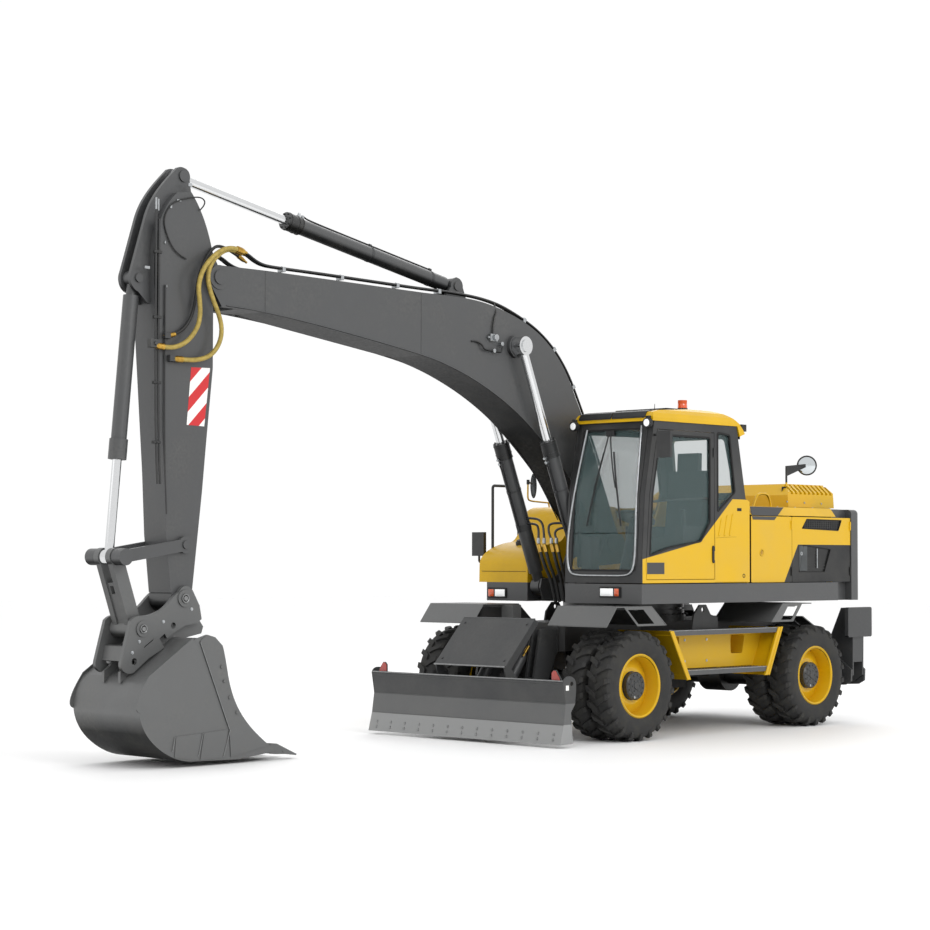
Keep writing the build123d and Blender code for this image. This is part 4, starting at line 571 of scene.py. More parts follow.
def addFerrule(bm, path, fromEnd, radius):
    # crimped collar and hexagon nut on one end of a hose
    order = path[::-1] if fromEnd else path
    start = order[0]
    direction = (order[2] - order[0]).normalized()
    addRod(bm, start - direction * 0.03, start + direction * 0.01, radius * 0.85, segments=6)
    addRod(bm, start + direction * 0.006, start + direction * 0.02, radius * 1.2, segments=16)
    addRod(bm, start + direction * 0.02, start + direction * 0.085, radius * 1.32, segments=16)
    for k in range(4):
        at = start + direction * (0.03 + 0.014 * k)
        addRod(bm, at, at + direction * 0.006, radius * 1.4, segments=16)


def flexHose(name, points, radius, material, bodies, ribs=0.0, ends=(0, 1)):
    path = smoothPath(points)
    bm = bmesh.new()
    addTube(bm, path, radius, 12, ribs)
    piece = finishPiece(bm, name, material, bodies[0], "trim", smooth=60)
    piece.parent = None
    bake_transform(piece)
    for index in ends:
        bm = bmesh.new()
        addFerrule(bm, path, index == 1, radius)
        finishPiece(bm, f"{name}Ferrule{'Far' if index else 'Near'}", goldZinc, bodies[index], "rod_chrome", smooth=30)


# wheels: each twin's moulded tyres stand in for the plain ones, then rim beads, ribs and hub bolts
tyre = {"lugs": 22, "steps": 88, "planes": (1.132, 0.826)}
casing = [(0.294, 0.108), (0.312, 0.122), (0.345, 0.134), (0.39, 0.138), (0.43, 0.136), (0.462, 0.128), (0.484, 0.114),
    (0.497, 0.085), (0.503, 0.04), (0.504, 0.0)]
mirrored = [(r, -d) for r, d in reversed(casing[:-1])]
# one bent lug: across the crown, over the shoulder and down the wall
rail = [(0.004, 0.0, 0.525), (0.05, 0.03, 0.525), (0.112, 0.062, 0.519), (0.1365, 0.07, 0.497), (0.1375, 0.07, 0.455)]
for place, axleX in axles.items():
    for hand, side in (("Left", 1), ("Right", -1)):
        body = f"wheel_{place.lower()}_{hand.lower()}"
        bm = bmesh.new()
        for plane in tyre["planes"]:
            middle = (axleX, side * plane, wheelZ)
            addRing(bm, casing + mirrored, middle, tyre["steps"])
            for r, d in ((0.3, 0.1095), (0.402, 0.1375)):
                for edge in (-1, 1):
                    addRing(bm, [(r, edge * d), (r + 0.004, edge * (d + 0.0005)), (r + 0.008, edge * d)], middle, 64)
            for index in range(tyre["lugs"] * 2):
                lean = 1 if index % 2 else -1
                turn = index * pi / tyre["lugs"]
                rings = []
                for across, along, radius in rail:
                    width = 0.026 if radius > 0.5 else 0.02
                    root = 0.485 if across < 0.12 else radius - 0.012
                    inner = across if across < 0.12 else across - 0.016
                    ring = []
                    for shift, r, a in ((-width - 0.005, root, inner), (-width, radius, across),
                            (width, radius, across), (width + 0.005, root, inner)):
                        swing = turn - (along + shift) / 0.51
                        ring.append(bm.verts.new((middle[0] + r * sin(swing), middle[1] + lean * a,
                            middle[2] + r * cos(swing))))
                    rings.append(ring)
                for first, second in zip(rings, rings[1:]):
                    for k in range(3):
                        bm.faces.new((first[k], first[k + 1], second[k + 1], second[k]))
                bm.faces.new(rings[0])
                bm.faces.new(rings[-1])
        piece = finishPiece(bm, f"tyres{place}{hand}", tyreRubber, body, "tyre", smooth=32)
        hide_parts(f"tyres_{place.lower()}_{hand.lower()}")

        bm = bmesh.new()
        addRing(bm, [(0.278, 0), (0.282, side * 0.008), (0.296, side * 0.013), (0.306, side * 0.008),
            (0.308, -side * 0.004), (0.296, -side * 0.012)], (axleX, side * 1.242, wheelZ), 72)
        finishPiece(bm, f"rimBead{place}{hand}", yellowEnamel, body, "yellow", smooth=35)

        bm = bmesh.new()
        face = side * 1.2045
        for count, circle, phase, radius, height in ((12, 0.104, 0.2, 0.0085, 0.008), (6, 0.052, 0.0, 0.007, 0.006)):
            angles = [2 * pi * k / count + phase for k in range(count)]
            spots = [(axleX + circle * cos(a), face, wheelZ + circle * sin(a)) for a in angles]
            addBolts(bm, spots, (0, side, 0), radius, height)
        addRing(bm, [(0.0, side * 0.007), (0.03, side * 0.007), (0.034, side * 0.004), (0.034, -side * 0.002)],
            (axleX, face, wheelZ), 32)
        addRing(bm, [(0.078, -side * 0.001), (0.079, side * 0.003), (0.084, side * 0.003), (0.085, -side * 0.001)],
            (axleX, face, wheelZ), 48)
        finishPiece(bm, f"hubBolts{place}{hand}", castSteel, body, "cast", smooth=35)

        rodPiece(f"oilPlug{place}{hand}", [((axleX + 0.03, side * 1.203, 0.42), (axleX + 0.03, side * 1.2125, 0.42),
            0.0135, 0.0135, 24)], silverZinc, body, "cast", smooth=35, bevel=0.002)
print("wheels ready")


# cab: bright strips, seals, rails, wipers and glass fittings
screenSide = [(1.2, 1.625), (1.15, 2.35), (1.01, 3.06)]
stripRadius = 0.011


def screenX(z, proud=0.0):
    # front face of the cab at a height
    for (x0, z0), (x1, z1) in zip(screenSide, screenSide[1:]):
        if z <= z1:
            return x0 + (x1 - x0) * max(0.0, z - z0) / (z1 - z0) + proud
    return screenSide[-1][0] + proud


def screenPoint(y, z, proud):
    return (screenX(z, proud), y, z)


bm = bmesh.new()
for low, high, z0, z1 in ((1.158, 1.232, 1.66, 3.045), (0.275, 0.338, 1.66, 3.045)):
    # painted pillar covers with a raised bright edge
    rows = [(z, screenX(z, 0.0)) for z in (z0, 2.0, 2.35, 2.7, z1)]
    for a, b in zip(rows, rows[1:]):
        for y0, y1, proud in ((low, low + 0.02, 0.007), (low + 0.024, high, 0.003)):
            addPlate(bm, [(a[1], y0, a[0]), (a[1], y1, a[0]), (b[1], y1, b[0]), (b[1], y0, b[0])], (proud, 0, 0))
finishPiece(bm, "pillarCovers", blackEnamel, "upper", "dark_grey", bevel=0.002)

# one silver strip up both pillars and under the windscreen
points = [(0.405, 3.0), (0.36, 2.6), (0.318, 2.2), (0.29, 1.9), (0.3, 1.68), (0.34, 1.592), (0.44, 1.572), (0.6, 1.57),
    (0.85, 1.57), (1.03, 1.57), (1.11, 1.592), (1.15, 1.68), (1.155, 1.9), (1.135, 2.36), (1.096, 3.02)]
addPipe("screenStrip", [screenPoint(y, z, 0.007) for y, z in points], stripRadius, silverZinc, "upper")


def sealLoop(name, outline, radius, material, body, slot, turn=0.045):
    # a rubber section round an opening, its corners turned by the spline
    points = []
    for index, corner in enumerate(outline):
        last, after = Vector(outline[index - 1]), Vector(outline[(index + 1) % len(outline)])
        corner = Vector(corner)
        for other in (last, after):
            reach = other - corner
            points.append(tuple(corner + reach.normalized() * min(turn, reach.length / 3)))
        points.insert(-1, tuple(corner))
    bm = bmesh.new()
    addTube(bm, smoothPath(points, 6, True), radius, 8, closed=True)
    finishPiece(bm, name, material, body, slot, smooth=60)


sideSeals = {
    "doorWindowSeal": ("cab_door", 1.236, [(0.142, 2.095), (0.29, 1.905), (0.805, 1.835), (1.08, 1.76),
        (1.035, 2.35), (0.915, 2.93), (0.142, 2.93)]),
    "quarterSeal": ("upper", 1.237, [(0.02, 2.2), (-0.262, 2.4), (-0.175, 2.97), (0.02, 2.985)]),
}
for name, (body, y, outline) in sideSeals.items():
    sealLoop(name, [(x, y, z) for x, z in outline], 0.011, sealRubber, body, "trim")
screenLoop = [(0.34, 1.62), (1.16, 1.62), (1.09, 2.99), (0.355, 2.99)]
sealLoop("screenSeal", [screenPoint(y, z, -0.004) for y, z in screenLoop], 0.01, sealRubber, "upper", "trim")

# door: grab rail across the window and the pull on its seam
addPipe("doorRail", [(0.165, 1.222, 2.33), (0.2, 1.196, 2.325), (0.6, 1.19, 2.31), (1.0, 1.196, 2.285),
    (1.03, 1.222, 2.28)], 0.013, blackEnamel, "cab_door")
platePiece("doorPull", [([(0.083, 1.7), (0.083, 1.85), (0.095, 1.866), (0.112, 1.86), (0.116, 1.84), (0.116, 1.71),
    (0.105, 1.692), (0.092, 1.692)], 1.239, 1.253)], blackPlastic, "cab_door", "trim", bevel=0.004)

# lenses of the head, signal and work lamps
for name, face, low, high, lens in (
    ("headLampLeft", 1.2172, (0.731, 1.374), (0.895, 1.446), lampLens),
    ("signalLeft", 1.2172, (0.909, 1.374), (0.965, 1.446), amberLens),
    ("headLampRight", 0.8672, (-1.0, 1.344), (-0.862, 1.416), lampLens),
    ("signalRight", 0.8672, (-1.095, 1.344), (-1.016, 1.416), amberLens),
):
    bm = bmesh.new()
    grid = bmesh.ops.create_grid(bm, x_segments=10, y_segments=6, size=0.5)["verts"]
    for vert in grid:
        u, v = vert.co.x, vert.co.y
        crown = (1 - 4 * u * u) * (1 - 4 * v * v)
        vert.co = (face + 0.009 * max(0.0, crown) ** 0.5, (low[0] + high[0]) / 2 + u * (high[0] - low[0]),
            (low[1] + high[1]) / 2 + v * (high[1] - low[1]))
    finishPiece(bm, name, lens, "upper", "glass" if lens is lampLens else "trim")
lampX, lampZ = 0.998, 3.04
for name, y in (("workLampLeft", 1.21), ("workLampRight", 0.271)):
    for ending, material, slot, rings in (
        ("", lampLens, "glass", [(0.0, 0.0985), (0.02, 0.098), (0.034, 0.0955), (0.0385, 0.092)]),
        ("Bezel", blackPlastic, "trim", [(0.039, 0.0925), (0.0405, 0.099), (0.045, 0.099), (0.0475, 0.093),
            (0.047, 0.06)]),
    ):
        bm = bmesh.new()
        addTurned(bm, [(lampX + d, y, lampZ + r) for r, d in rings], (lampX, y, lampZ), (1, 0, 0), 36)
        finishPiece(bm, name + ending, material, "upper", slot)

# beacon lens over its foot, rear lamp and antenna
bm = bmesh.new()
dome = [(0.0, 0.1175), (0.018, 0.116), (0.033, 0.108), (0.043, 0.092), (0.0475, 0.07), (0.0495, 0.036),
    (0.0495, 0.034)]
addTurned(bm, [(0.15 + r, 0.9, 3.204 + h) for r, h in dome], (0.15, 0.9, 3.204), (0, 0, 1), 40)
finishPiece(bm, "beaconDome", amberLens, "upper", "trim")
blockPiece("rearLampLens", [((-0.508, 1.112, 3.026), (-0.5, 1.198, 3.084))], lampLens, "upper", "glass", bevel=0.002)
rodPiece("antenna", [((-0.02, 0.4, 3.19), (-0.02, 0.4, 3.213), 0.016, 0.011),
    ((-0.02, 0.4, 3.21), (-0.025, 0.4, 3.315), 0.0045, 0.003, 10)], blackPlastic, "upper", "trim")

# wipers: two arms from the top centre and one for the side pane
for name, points in {
    "wiperArmLeft": [(0.72, 2.95, 0.014), (0.77, 2.7, 0.02), (0.87, 2.42, 0.016)],
    "wiperArmRight": [(0.7, 2.95, 0.014), (0.665, 2.7, 0.02), (0.6, 2.42, 0.016)],
    "wiperBladeLeft": [(0.79, 2.77, 0.012), (0.875, 2.42, 0.011), (0.965, 2.05, 0.012)],
    "wiperBladeRight": [(0.665, 2.77, 0.012), (0.6, 2.42, 0.011), (0.53, 2.05, 0.012)],
}.items():
    addPipe(name, [screenPoint(y, z, proud) for y, z, proud in points], 0.007 if "Arm" in name else 0.009,
        blackPlastic, "upper")
bm = bmesh.new()
addBlock(bm, (1.018, 0.66, 2.925), (1.046, 0.76, 2.985))
addRod(bm, (1.02, 0.71, 2.955), (1.052, 0.71, 2.955), 0.02)
finishPiece(bm, "wiperMotorCover", blackPlastic, "upper", "trim", bevel=0.006)

# roof: black visor along the front and hatch
bm = bmesh.new()
for y0, y1 in ((0.31, 0.725), (0.735, 1.155)):
    sidePlate(bm, [(1.046, 3.092), (1.052, 3.11), (1.02, 3.157), (0.9, 3.1785), (0.62, 3.196), (0.62, 3.19),
        (0.9, 3.171), (1.012, 3.149), (1.04, 3.108)], y0, y1)
finishPiece(bm, "roofVisor", blackPlastic, "upper", "trim", bevel=0.003)
blockPiece("roofHatch", [((0.34, 0.42, 3.2045), (0.62, 1.08, 3.2115))], blackPlastic, "upper", "trim", bevel=0.003)

# mirror glasses on the two front mirrors
blockPiece("mirrorGlasses", [((1.0275, 1.322, 2.712), (1.0305, 1.468, 2.943)),
    ((0.6695, -1.468, 1.772), (0.6725, -1.322, 1.998))], mirrorGlass, "upper", "glass", bevel=0.001)
print("cab ready")


# gold-sleeved hoses looping over the boom's nose to the arm
noseHoses = {
    "noseHoseUpper": [(5.15, 0.044, 4.388), (5.22, 0.046, 4.405), (5.32, 0.06, 4.405), (5.45, 0.1, 4.37),
        (5.58, 0.13, 4.29), (5.69, 0.14, 4.17), (5.725, 0.13, 4.03), (5.69, 0.11, 3.91), (5.675, 0.1, 3.79),
        (5.70, 0.095, 3.68), (5.79, 0.085, 3.565), (5.90, 0.065, 3.505), (6.0, 0.045, 3.498), (6.1, 0.03, 3.51)],
    "noseHoseLower": [(5.14, 0.008, 4.38), (5.22, 0.01, 4.4), (5.33, 0.03, 4.395), (5.45, 0.07, 4.34),
        (5.56, 0.1, 4.25), (5.615, 0.12, 4.14), (5.60, 0.12, 4.04), (5.545, 0.11, 3.93), (5.465, 0.1, 3.8),
        (5.435, 0.1, 3.68), (5.46, 0.095, 3.56), (5.54, 0.08, 3.455), (5.67, 0.06, 3.41), (5.81, 0.04, 3.408),
        (5.9, 0.03, 3.41)],
}
for name, points in noseHoses.items():
    flexHose(name, points, 0.02, sleeveGold, ("boom", "arm"), ribs=0.0014)
flexHose("noseHoseReturn", [(5.05, -0.07, 4.33), (5.2, -0.06, 4.40), (5.38, -0.02, 4.43), (5.5, 0.03, 4.38),
    (5.6, 0.045, 4.25), (5.66, 0.045, 4.1), (5.67, 0.035, 3.95), (5.72, 0.03, 3.75), (5.85, 0.025, 3.62),
    (5.97, 0.02, 3.6)], 0.014, hoseRubber, ("boom", "arm"))

# steel pipes along the boom's back, with clamps
boomLine = [(5.13, 4.38), (5.09, 4.365), (5.02, 4.325), (4.93, 4.296), (4.8, 4.288), (4.3, 4.284), (3.6, 4.272),
    (2.976, 4.262), (2.56, 4.262), (2.12, 4.238), (1.79, 4.168), (1.30, 3.972), (0.952, 3.667), (0.718, 3.264),
    (0.51, 2.872), (0.42, 2.68)]
for name, y in (("boomPipeA", 0.044), ("boomPipeB", 0.008), ("boomPipeC", -0.308), ("boomPipeD", -0.344)):
    addPipe(name, [(x, y, z) for x, z in boomLine], 0.012, blackEnamel, "boom")
bm = bmesh.new()
for x, z, lean in ((4.7, 4.286, 0), (4.0, 4.278, 0), (3.3, 4.268, 0), (2.75, 4.262, 0), (1.56, 4.08, 0.4),
        (1.12, 3.82, 0.8), (0.83, 3.46, 1.05), (0.62, 3.08, 1.1)):
    for y in (0.026, -0.326):
        along = Vector((cos(lean), 0, sin(lean)))
        out = Vector((-sin(lean), 0, cos(lean)))
        middle = Vector((x, y, z))
        corners = [middle + along * a + out * b for a, b in ((-0.018, -0.03), (0.018, -0.03), (0.018, 0.014),
            (-0.018, 0.014))]
        addPlate(bm, [c - Vector((0, 0.036, 0)) for c in corners], (0, 0.072, 0))
        addRod(bm, middle + out * 0.013, middle + out * 0.022, 0.007, segments=6)
finishPiece(bm, "boomPipeClamps", silverZinc, "boom", "cast", bevel=0.002)

# weld seams across the boom's two sides, and lips along the boom's lower plate
bm = bmesh.new()
for y0, y1 in ((0.0645, 0.068), (-0.368, -0.3645)):
    for x, low, high in ((3.0, 3.642, 4.214), (4.92, 3.893, 4.236)):
        addBlock(bm, (x - 0.004, y0, low), (x + 0.004, y1, high))
finishPiece(bm, "boomWelds", greyEnamel, "boom", "dark_grey", bevel=0.0012)
lowerEdge = [(5.36, 3.9), (4.923, 3.898), (2.99, 3.646), (2.529, 3.531), (2.178, 3.405), (1.818, 3.237), (1.5, 3.043),
    (1.001, 2.639), (0.821, 2.431), (0.6, 2.13)]
for name, y in (("boomLipLeft", 0.066), ("boomLipRight", -0.366)):
    addPipe(name, [(x, y, z) for x, z in lowerEdge], 0.006, greyEnamel, "boom")

# valve block and lines beside the boom's rod pin
bm = bmesh.new()
addBlock(bm, (1.99, 0.064, 3.83), (2.09, 0.098, 3.9))
addRod(bm, (2.03, 0.098, 3.866), (2.03, 0.125, 3.866), 0.03)
addRod(bm, (1.935, 0.064, 3.81), (1.935, 0.11, 3.81), 0.021)
addRod(bm, (2.04, 0.064, 3.737), (2.04, 0.105, 3.737), 0.02)
addRod(bm, (2.09, 0.08, 3.865), (2.115, 0.08, 3.865), 0.014, segments=6)
finishPiece(bm, "boomValve", silverZinc, "boom", "cast", bevel=0.003)
for name, points in {
    "boomValveLineA": [(2.04, 0.078, 3.9), (2.04, 0.08, 3.96), (2.02, 0.078, 4.05), (1.985, 0.072, 4.12),
        (1.99, 0.05, 4.17), (1.99, 0.044, 4.215)],
    "boomValveLineB": [(2.04, 0.095, 3.737), (2.12, 0.097, 3.735), (2.18, 0.094, 3.745), (2.2, 0.085, 3.79),
        (2.28, 0.076, 3.82), (2.33, 0.07, 3.81)],
    "boomValveLineC": [(1.935, 0.1, 3.81), (1.92, 0.1, 3.76), (1.96, 0.098, 3.72), (2.02, 0.097, 3.735)],
}.items():
    addPipe(name, points, 0.0095, blackEnamel, "boom")

# lines on the arm's side: grease hose looping round its back, clips, drop pipes with clamps
addPipe("armGreaseLine", [(5.62, 0.012, 4.70), (5.585, 0.03, 4.74), (5.575, 0.03, 4.79), (5.63, 0.025, 4.815),
    (5.74, 0.012, 4.795), (5.89, 0.009, 4.745), (5.95, 0.009, 4.69), (6.0, 0.009, 4.6), (5.99, 0.009, 4.5),
    (5.92, 0.012, 4.36), (5.83, 0.014, 4.29), (5.76, 0.012, 4.27)], 0.006, hoseRubber, "arm")
bm = bmesh.new()
for x, z, w, h in ((5.72, 4.91, 0.04, 0.014), (5.84, 4.762, 0.045, 0.008), (5.925, 4.7, 0.02, 0.014),
        (6.08, 4.71, 0.012, 0.05), (6.055, 4.70, 0.008, 0.05), (6.17, 4.16, 0.05, 0.012), (5.985, 4.39, 0.011, 0.011),
        (5.965, 4.02, 0.009, 0.011), (5.98, 3.73, 0.01, 0.04)):
    addBlock(bm, (x - w / 2, 0.0, z - h), (x + w / 2, 0.012, z + h))
finishPiece(bm, "armClips", silverZinc, "arm", "cast", bevel=0.002)
for name, x, low, high, radius in (("armPipeA", 6.085, 2.35, 4.62, 0.0105), ("armPipeB", 6.055, 2.35, 4.55, 0.0105),
        ("armPipeC", 5.985, 2.1, 4.0, 0.007)):
    addPipe(name, [(x, 0.014, high + 0.03), (x, 0.014, high), (x, 0.014, (low + high) / 2),
        (x - 0.01, 0.014, low + 0.3), (x - 0.03, 0.014, low)], radius, blackEnamel, "arm")
bm = bmesh.new()
for z in (4.3, 3.75, 3.2, 2.7):
    addBlock(bm, (6.03, 0.0, z - 0.012), (6.11, 0.03, z + 0.012))
    addRod(bm, (6.07, 0.03, z), (6.07, 0.036, z), 0.007, segments=6)
finishPiece(bm, "armPipeClamps", blackEnamel, "arm", "cast", bevel=0.003)
bm = bmesh.new()
addBlock(bm, (6.06, 0.001, 3.49), (6.16, 0.05, 3.56))
addBlock(bm, (5.89, 0.001, 3.385), (5.95, 0.045, 3.44))
addRod(bm, (6.11, 0.05, 3.525), (6.11, 0.064, 3.525), 0.018, segments=6)
addBlock(bm, (5.94, 0.001, 3.575), (6.0, 0.04, 3.625))
finishPiece(bm, "armPortBlocks", castSteel, "arm", "cast", bevel=0.003)
stripes = [(5.485, 3.358), (5.69, 3.353), (5.735, 2.86), (5.545, 2.855)]
platePiece("armStripes", [(stripes, -0.0001, 0.0016), (stripes, -0.3016, -0.2999)], stripeSheet, "arm", "trim")
print("boom and arm ready")


def addSleeve(bm, start, end, inner, outer, segments=40):
    # a tube wall with flat ends
    start, end = Vector(start), Vector(end)
    axis = (end - start).normalized()
    side = axis.orthogonal().normalized()
    up = axis.cross(side)
    loops = [circleVerts(bm, place, side, up, r, segments) for place, r in ((start, inner), (start, outer),
        (end, outer), (end, inner))]
    for a, b in zip(loops, loops[1:] + loops[:1]):
        for k in range(segments):
            bm.faces.new((a[k], a[(k + 1) % segments], b[(k + 1) % segments], b[k]))


# cylinder dress: gland sleeves with rings and bolts, ports, band clamps and the oil pipe along each barrel
def dressCylinder(name, body, pin, rodPin, y, gland, barrelRadius, glandRadius, band, flip=1):
    start = Vector((pin[0], y, pin[1]))
    along = (Vector((rodPin[0], y, rodPin[1])) - start).normalized()
    out = Vector((along.z, 0, -along.x)) * flip

    def at(distance, lift=0.0):
        return start + along * distance + out * lift
    bm = bmesh.new()
    addSleeve(bm, at(gland - 0.168), at(gland - 0.002), glandRadius - 0.003, glandRadius + 0.0012)
    for back in (0.168, 0.12, 0.03):
        addSleeve(bm, at(gland - back), at(gland - back + 0.008), glandRadius - 0.001, glandRadius + 0.0045)
    side = along.cross(out)
    for k in range(8):
        turn = k * pi / 4 + 0.3
        foot = at(gland - 0.001) + (out * cos(turn) + side * sin(turn)) * (glandRadius - 0.015)
        addRod(bm, foot, foot + along * 0.012, 0.008, segments=6)
    finishPiece(bm, f"{name}Gland", blackEnamel, body, "dark_grey", smooth=30)
    bm = bmesh.new()
    for distance in (gland - 0.15, gland - 0.195):
        addRod(bm, at(distance, barrelRadius - 0.004), at(distance, barrelRadius + 0.034), 0.017, segments=6)
    addRod(bm, at(gland - 0.15, barrelRadius + 0.03), at(gland - 0.15, barrelRadius + 0.046), 0.012, segments=12)
    finishPiece(bm, f"{name}Ports", silverZinc, body, "cast", bevel=0.002)
    bm = bmesh.new()
    for middle, width in band:
        addSleeve(bm, at(middle - width / 2), at(middle + width / 2), barrelRadius - 0.003, barrelRadius + 0.0025)
        addRod(bm, at(middle - width / 2, barrelRadius + 0.012), at(middle + width / 2, barrelRadius + 0.012), 0.015,
            segments=10)
    finishPiece(bm, f"{name}Bands", castSteel, body, "cast", smooth=30, bevel=0.0015)
    low = band[0][0]
    addPipe(f"{name}Pipe", [at(distance, barrelRadius + lift) for distance, lift in ((gland - 0.195, 0.028),
        (gland - 0.22, 0.024), (gland - 0.27, 0.012), ((gland + low) / 2, 0.012), (low, 0.012))], 0.008, blackEnamel,
        body)


for hand, y in (("Left", 0.166), ("Right", -0.466)):
    dressCylinder(f"boomCylinder{hand}", "boom_barrels", (0.76, 1.45), (1.72, 3.8), y, 1.56, 0.074, 0.08,
        ((0.66, 0.07), (1.05, 0.02)))
dressCylinder("armCylinder", "arm_barrel", (2.4, 4.344), (5.735, 4.99), gearY, 2.15, 0.072, 0.08,
    ((0.3, 0.03), (1.1, 0.03)), -1)

# four hoses with gold ferrules and silver elbows, then steel pipes round to the two boom cylinders
pipeRoutes = {
    "liftPipe0": [(1.09, -0.189, 1.925), (1.087, -0.19, 1.985), (1.075, -0.205, 2.035), (1.055, -0.24, 2.07),
        (1.035, -0.31, 2.085), (1.025, -0.4, 2.085)],
    "liftPipe1": [(1.09, -0.113, 1.925), (1.09, -0.118, 2.01), (1.08, -0.145, 2.085), (1.06, -0.21, 2.125),
        (1.045, -0.31, 2.14), (1.04, -0.4, 2.14)],
    "liftPipe2": [(1.09, -0.015, 1.925), (1.09, -0.045, 1.975), (1.085, -0.062, 2.04), (1.078, -0.05, 2.075),
        (1.06, 0.0, 2.088), (1.035, 0.1, 2.086)],
    "liftPipe3": [(1.09, 0.053, 1.925), (1.09, 0.032, 1.965), (1.082, 0.026, 2.0), (1.065, 0.05, 2.03),
        (1.04, 0.1, 2.04)],
}
for index, (name, points) in enumerate(pipeRoutes.items()):
    addPipe(name, points, 0.012, blackEnamel, "boom_barrels")
    y = points[0][1]
    rodPiece(f"liftElbow{index}", [((1.09, y, 1.885), (1.09, y, 1.93), 0.019, 0.019, 6),
        ((1.09, y, 1.927), (1.09, y, 1.94), 0.015, 0.015, 16)], silverZinc, "boom_barrels", "cast", bevel=0.002)
    flexHose(f"liftHose{index}", [(0.93, y * 0.7 + 0.03, 1.3), (0.97, y * 0.8 + 0.035, 1.5),
        (1.05, y * 0.95 + 0.035, 1.67), (1.085, y + 0.027, 1.79), (1.09, y, 1.88)], 0.0165, hoseRubber,
        ("upper", "boom_barrels"), ends=(1,))
print("cylinders ready")


# left side of the house: pressed ribs, seams, blank plates, locks, hoop and panel trim
bm = bmesh.new()
for (x0, z0), (x1, z1) in (((-0.042, 2.137), (0.003, 1.962)), ((-0.133, 2.175), (-0.087, 1.963)),
        ((-0.224, 2.19), (-0.172, 1.964))):
    sidePlate(bm, [(x0 - 0.012, z0), (x0 + 0.012, z0 - 0.01), (x1 + 0.012, z1), (x1 - 0.012, z1)], 1.239, 1.2455)
finishPiece(bm, "pressedRibs", yellowEnamel, "upper", "yellow", bevel=0.003, segments=3)
bm = bmesh.new()
sidePlate(bm, [(-0.295, 2.243), (-0.365, 2.243), (-0.365, 2.213), (-0.295, 2.213)], 1.239, 1.2425)
addBlock(bm, (0.0655, 1.2385, 1.53), (0.0695, 1.2405, 2.1))
addBlock(bm, (-0.47, 1.2385, 1.503), (0.07, 1.2403, 1.5055))
finishPiece(bm, "sideSlotAndSeams", sealRubber, "upper", "trim", bevel=0.001)
for name, body, outline in (("blankHoodPlate", "upper", [(-0.531, 2.264), (-1.104, 2.264), (-0.999, 2.176),
        (-0.563, 2.176)]), ("blankDoorPlate", "middle_door", [(-0.566, 2.167), (-0.988, 2.167), (-0.945, 2.132),
        (-0.581, 2.132)])):
    platePiece(name, [(outline, 1.2195, 1.2225)], greyBlank, body, "trim", bevel=0.001)
platePiece("doorBlankPlate", [([(1.122, 1.697), (0.86, 1.697), (0.86, 1.586), (1.122, 1.586)], 1.239, 1.2424)],
    greyBlank, "cab_door", "trim", bevel=0.002)
bm = bmesh.new()
addRing(bm, [(0.017 * part, d) for part, d in ((0.0, -0.001), (0.8, -0.001), (0.85, 0.003), (1.15, 0.003),
    (1.25, -0.001))], (-0.403, 1.24, 1.565), 28)
finishPiece(bm, "towCap", sealRubber, "upper", "trim")
for name, body, x, z in (("middleDoorLock", "middle_door", -0.729, 1.80), ("rearDoorLock", "rear_door_left", -1.413,
        1.791)):
    bm = bmesh.new()
    addRing(bm, [(0.0, 0.003), (0.009, 0.003), (0.011, 0.005), (0.018, 0.005), (0.021, 0.001), (0.021, -0.001)],
        (x, 1.22, z), 28)
    addBlock(bm, (x - 0.0015, 1.2225, z - 0.007), (x + 0.0015, 1.2245, z + 0.007))
    finishPiece(bm, name, silverZinc if body == "rear_door_left" else goldZinc, body, "trim")
bm = bmesh.new()
addRing(bm, [(0.024, -0.001), (0.028, 0.004), (0.036, 0.004), (0.04, -0.001)], (-0.729, 1.22, 1.80), 32)
finishPiece(bm, "lockSurround", yellowEnamel, "middle_door", "yellow")

# frames round the grille window and the vent, and the box lid beside it
for name, outline in (("grilleFrame", [(-1.505, 2.15), (-2.143, 2.145), (-2.085, 2.034), (-1.423, 2.051)]),
        ("ventFrame", [(-1.449, 1.884), (-1.943, 1.839), (-1.83, 1.597), (-1.366, 1.599)])):
    corners = [Vector((x, 1.2205, z)) for x, z in outline]
    middle = sum(corners, Vector()) / 4
    sealLoop(name, [tuple(c + (middle - c).normalized() * 0.006) for c in corners], 0.0038, sealRubber,
        "rear_door_left", "trim", 0.014)
platePiece("rearBoxLid", [([(-1.372, 1.868), (-1.514, 1.868), (-1.514, 1.612), (-1.372, 1.612)], 1.2195, 1.2235)],
    greyPlastic, "rear_door_left", "trim", bevel=0.006, segments=3)
blockPiece("ventStrip", [((-1.703, 1.2135, 1.64), (-1.689, 1.222, 1.845))], silverZinc, "rear_door_left", "trim",
    bevel=0.002)
bm = bmesh.new()
for index in range(16):
    x = -1.48 - 0.04 * index
    addBlock(bm, (x - 0.002, 1.2085, 2.045), (x + 0.002, 1.2125, 2.14))
finishPiece(bm, "grilleMesh", blackPlastic, "rear_door_left", "trim")

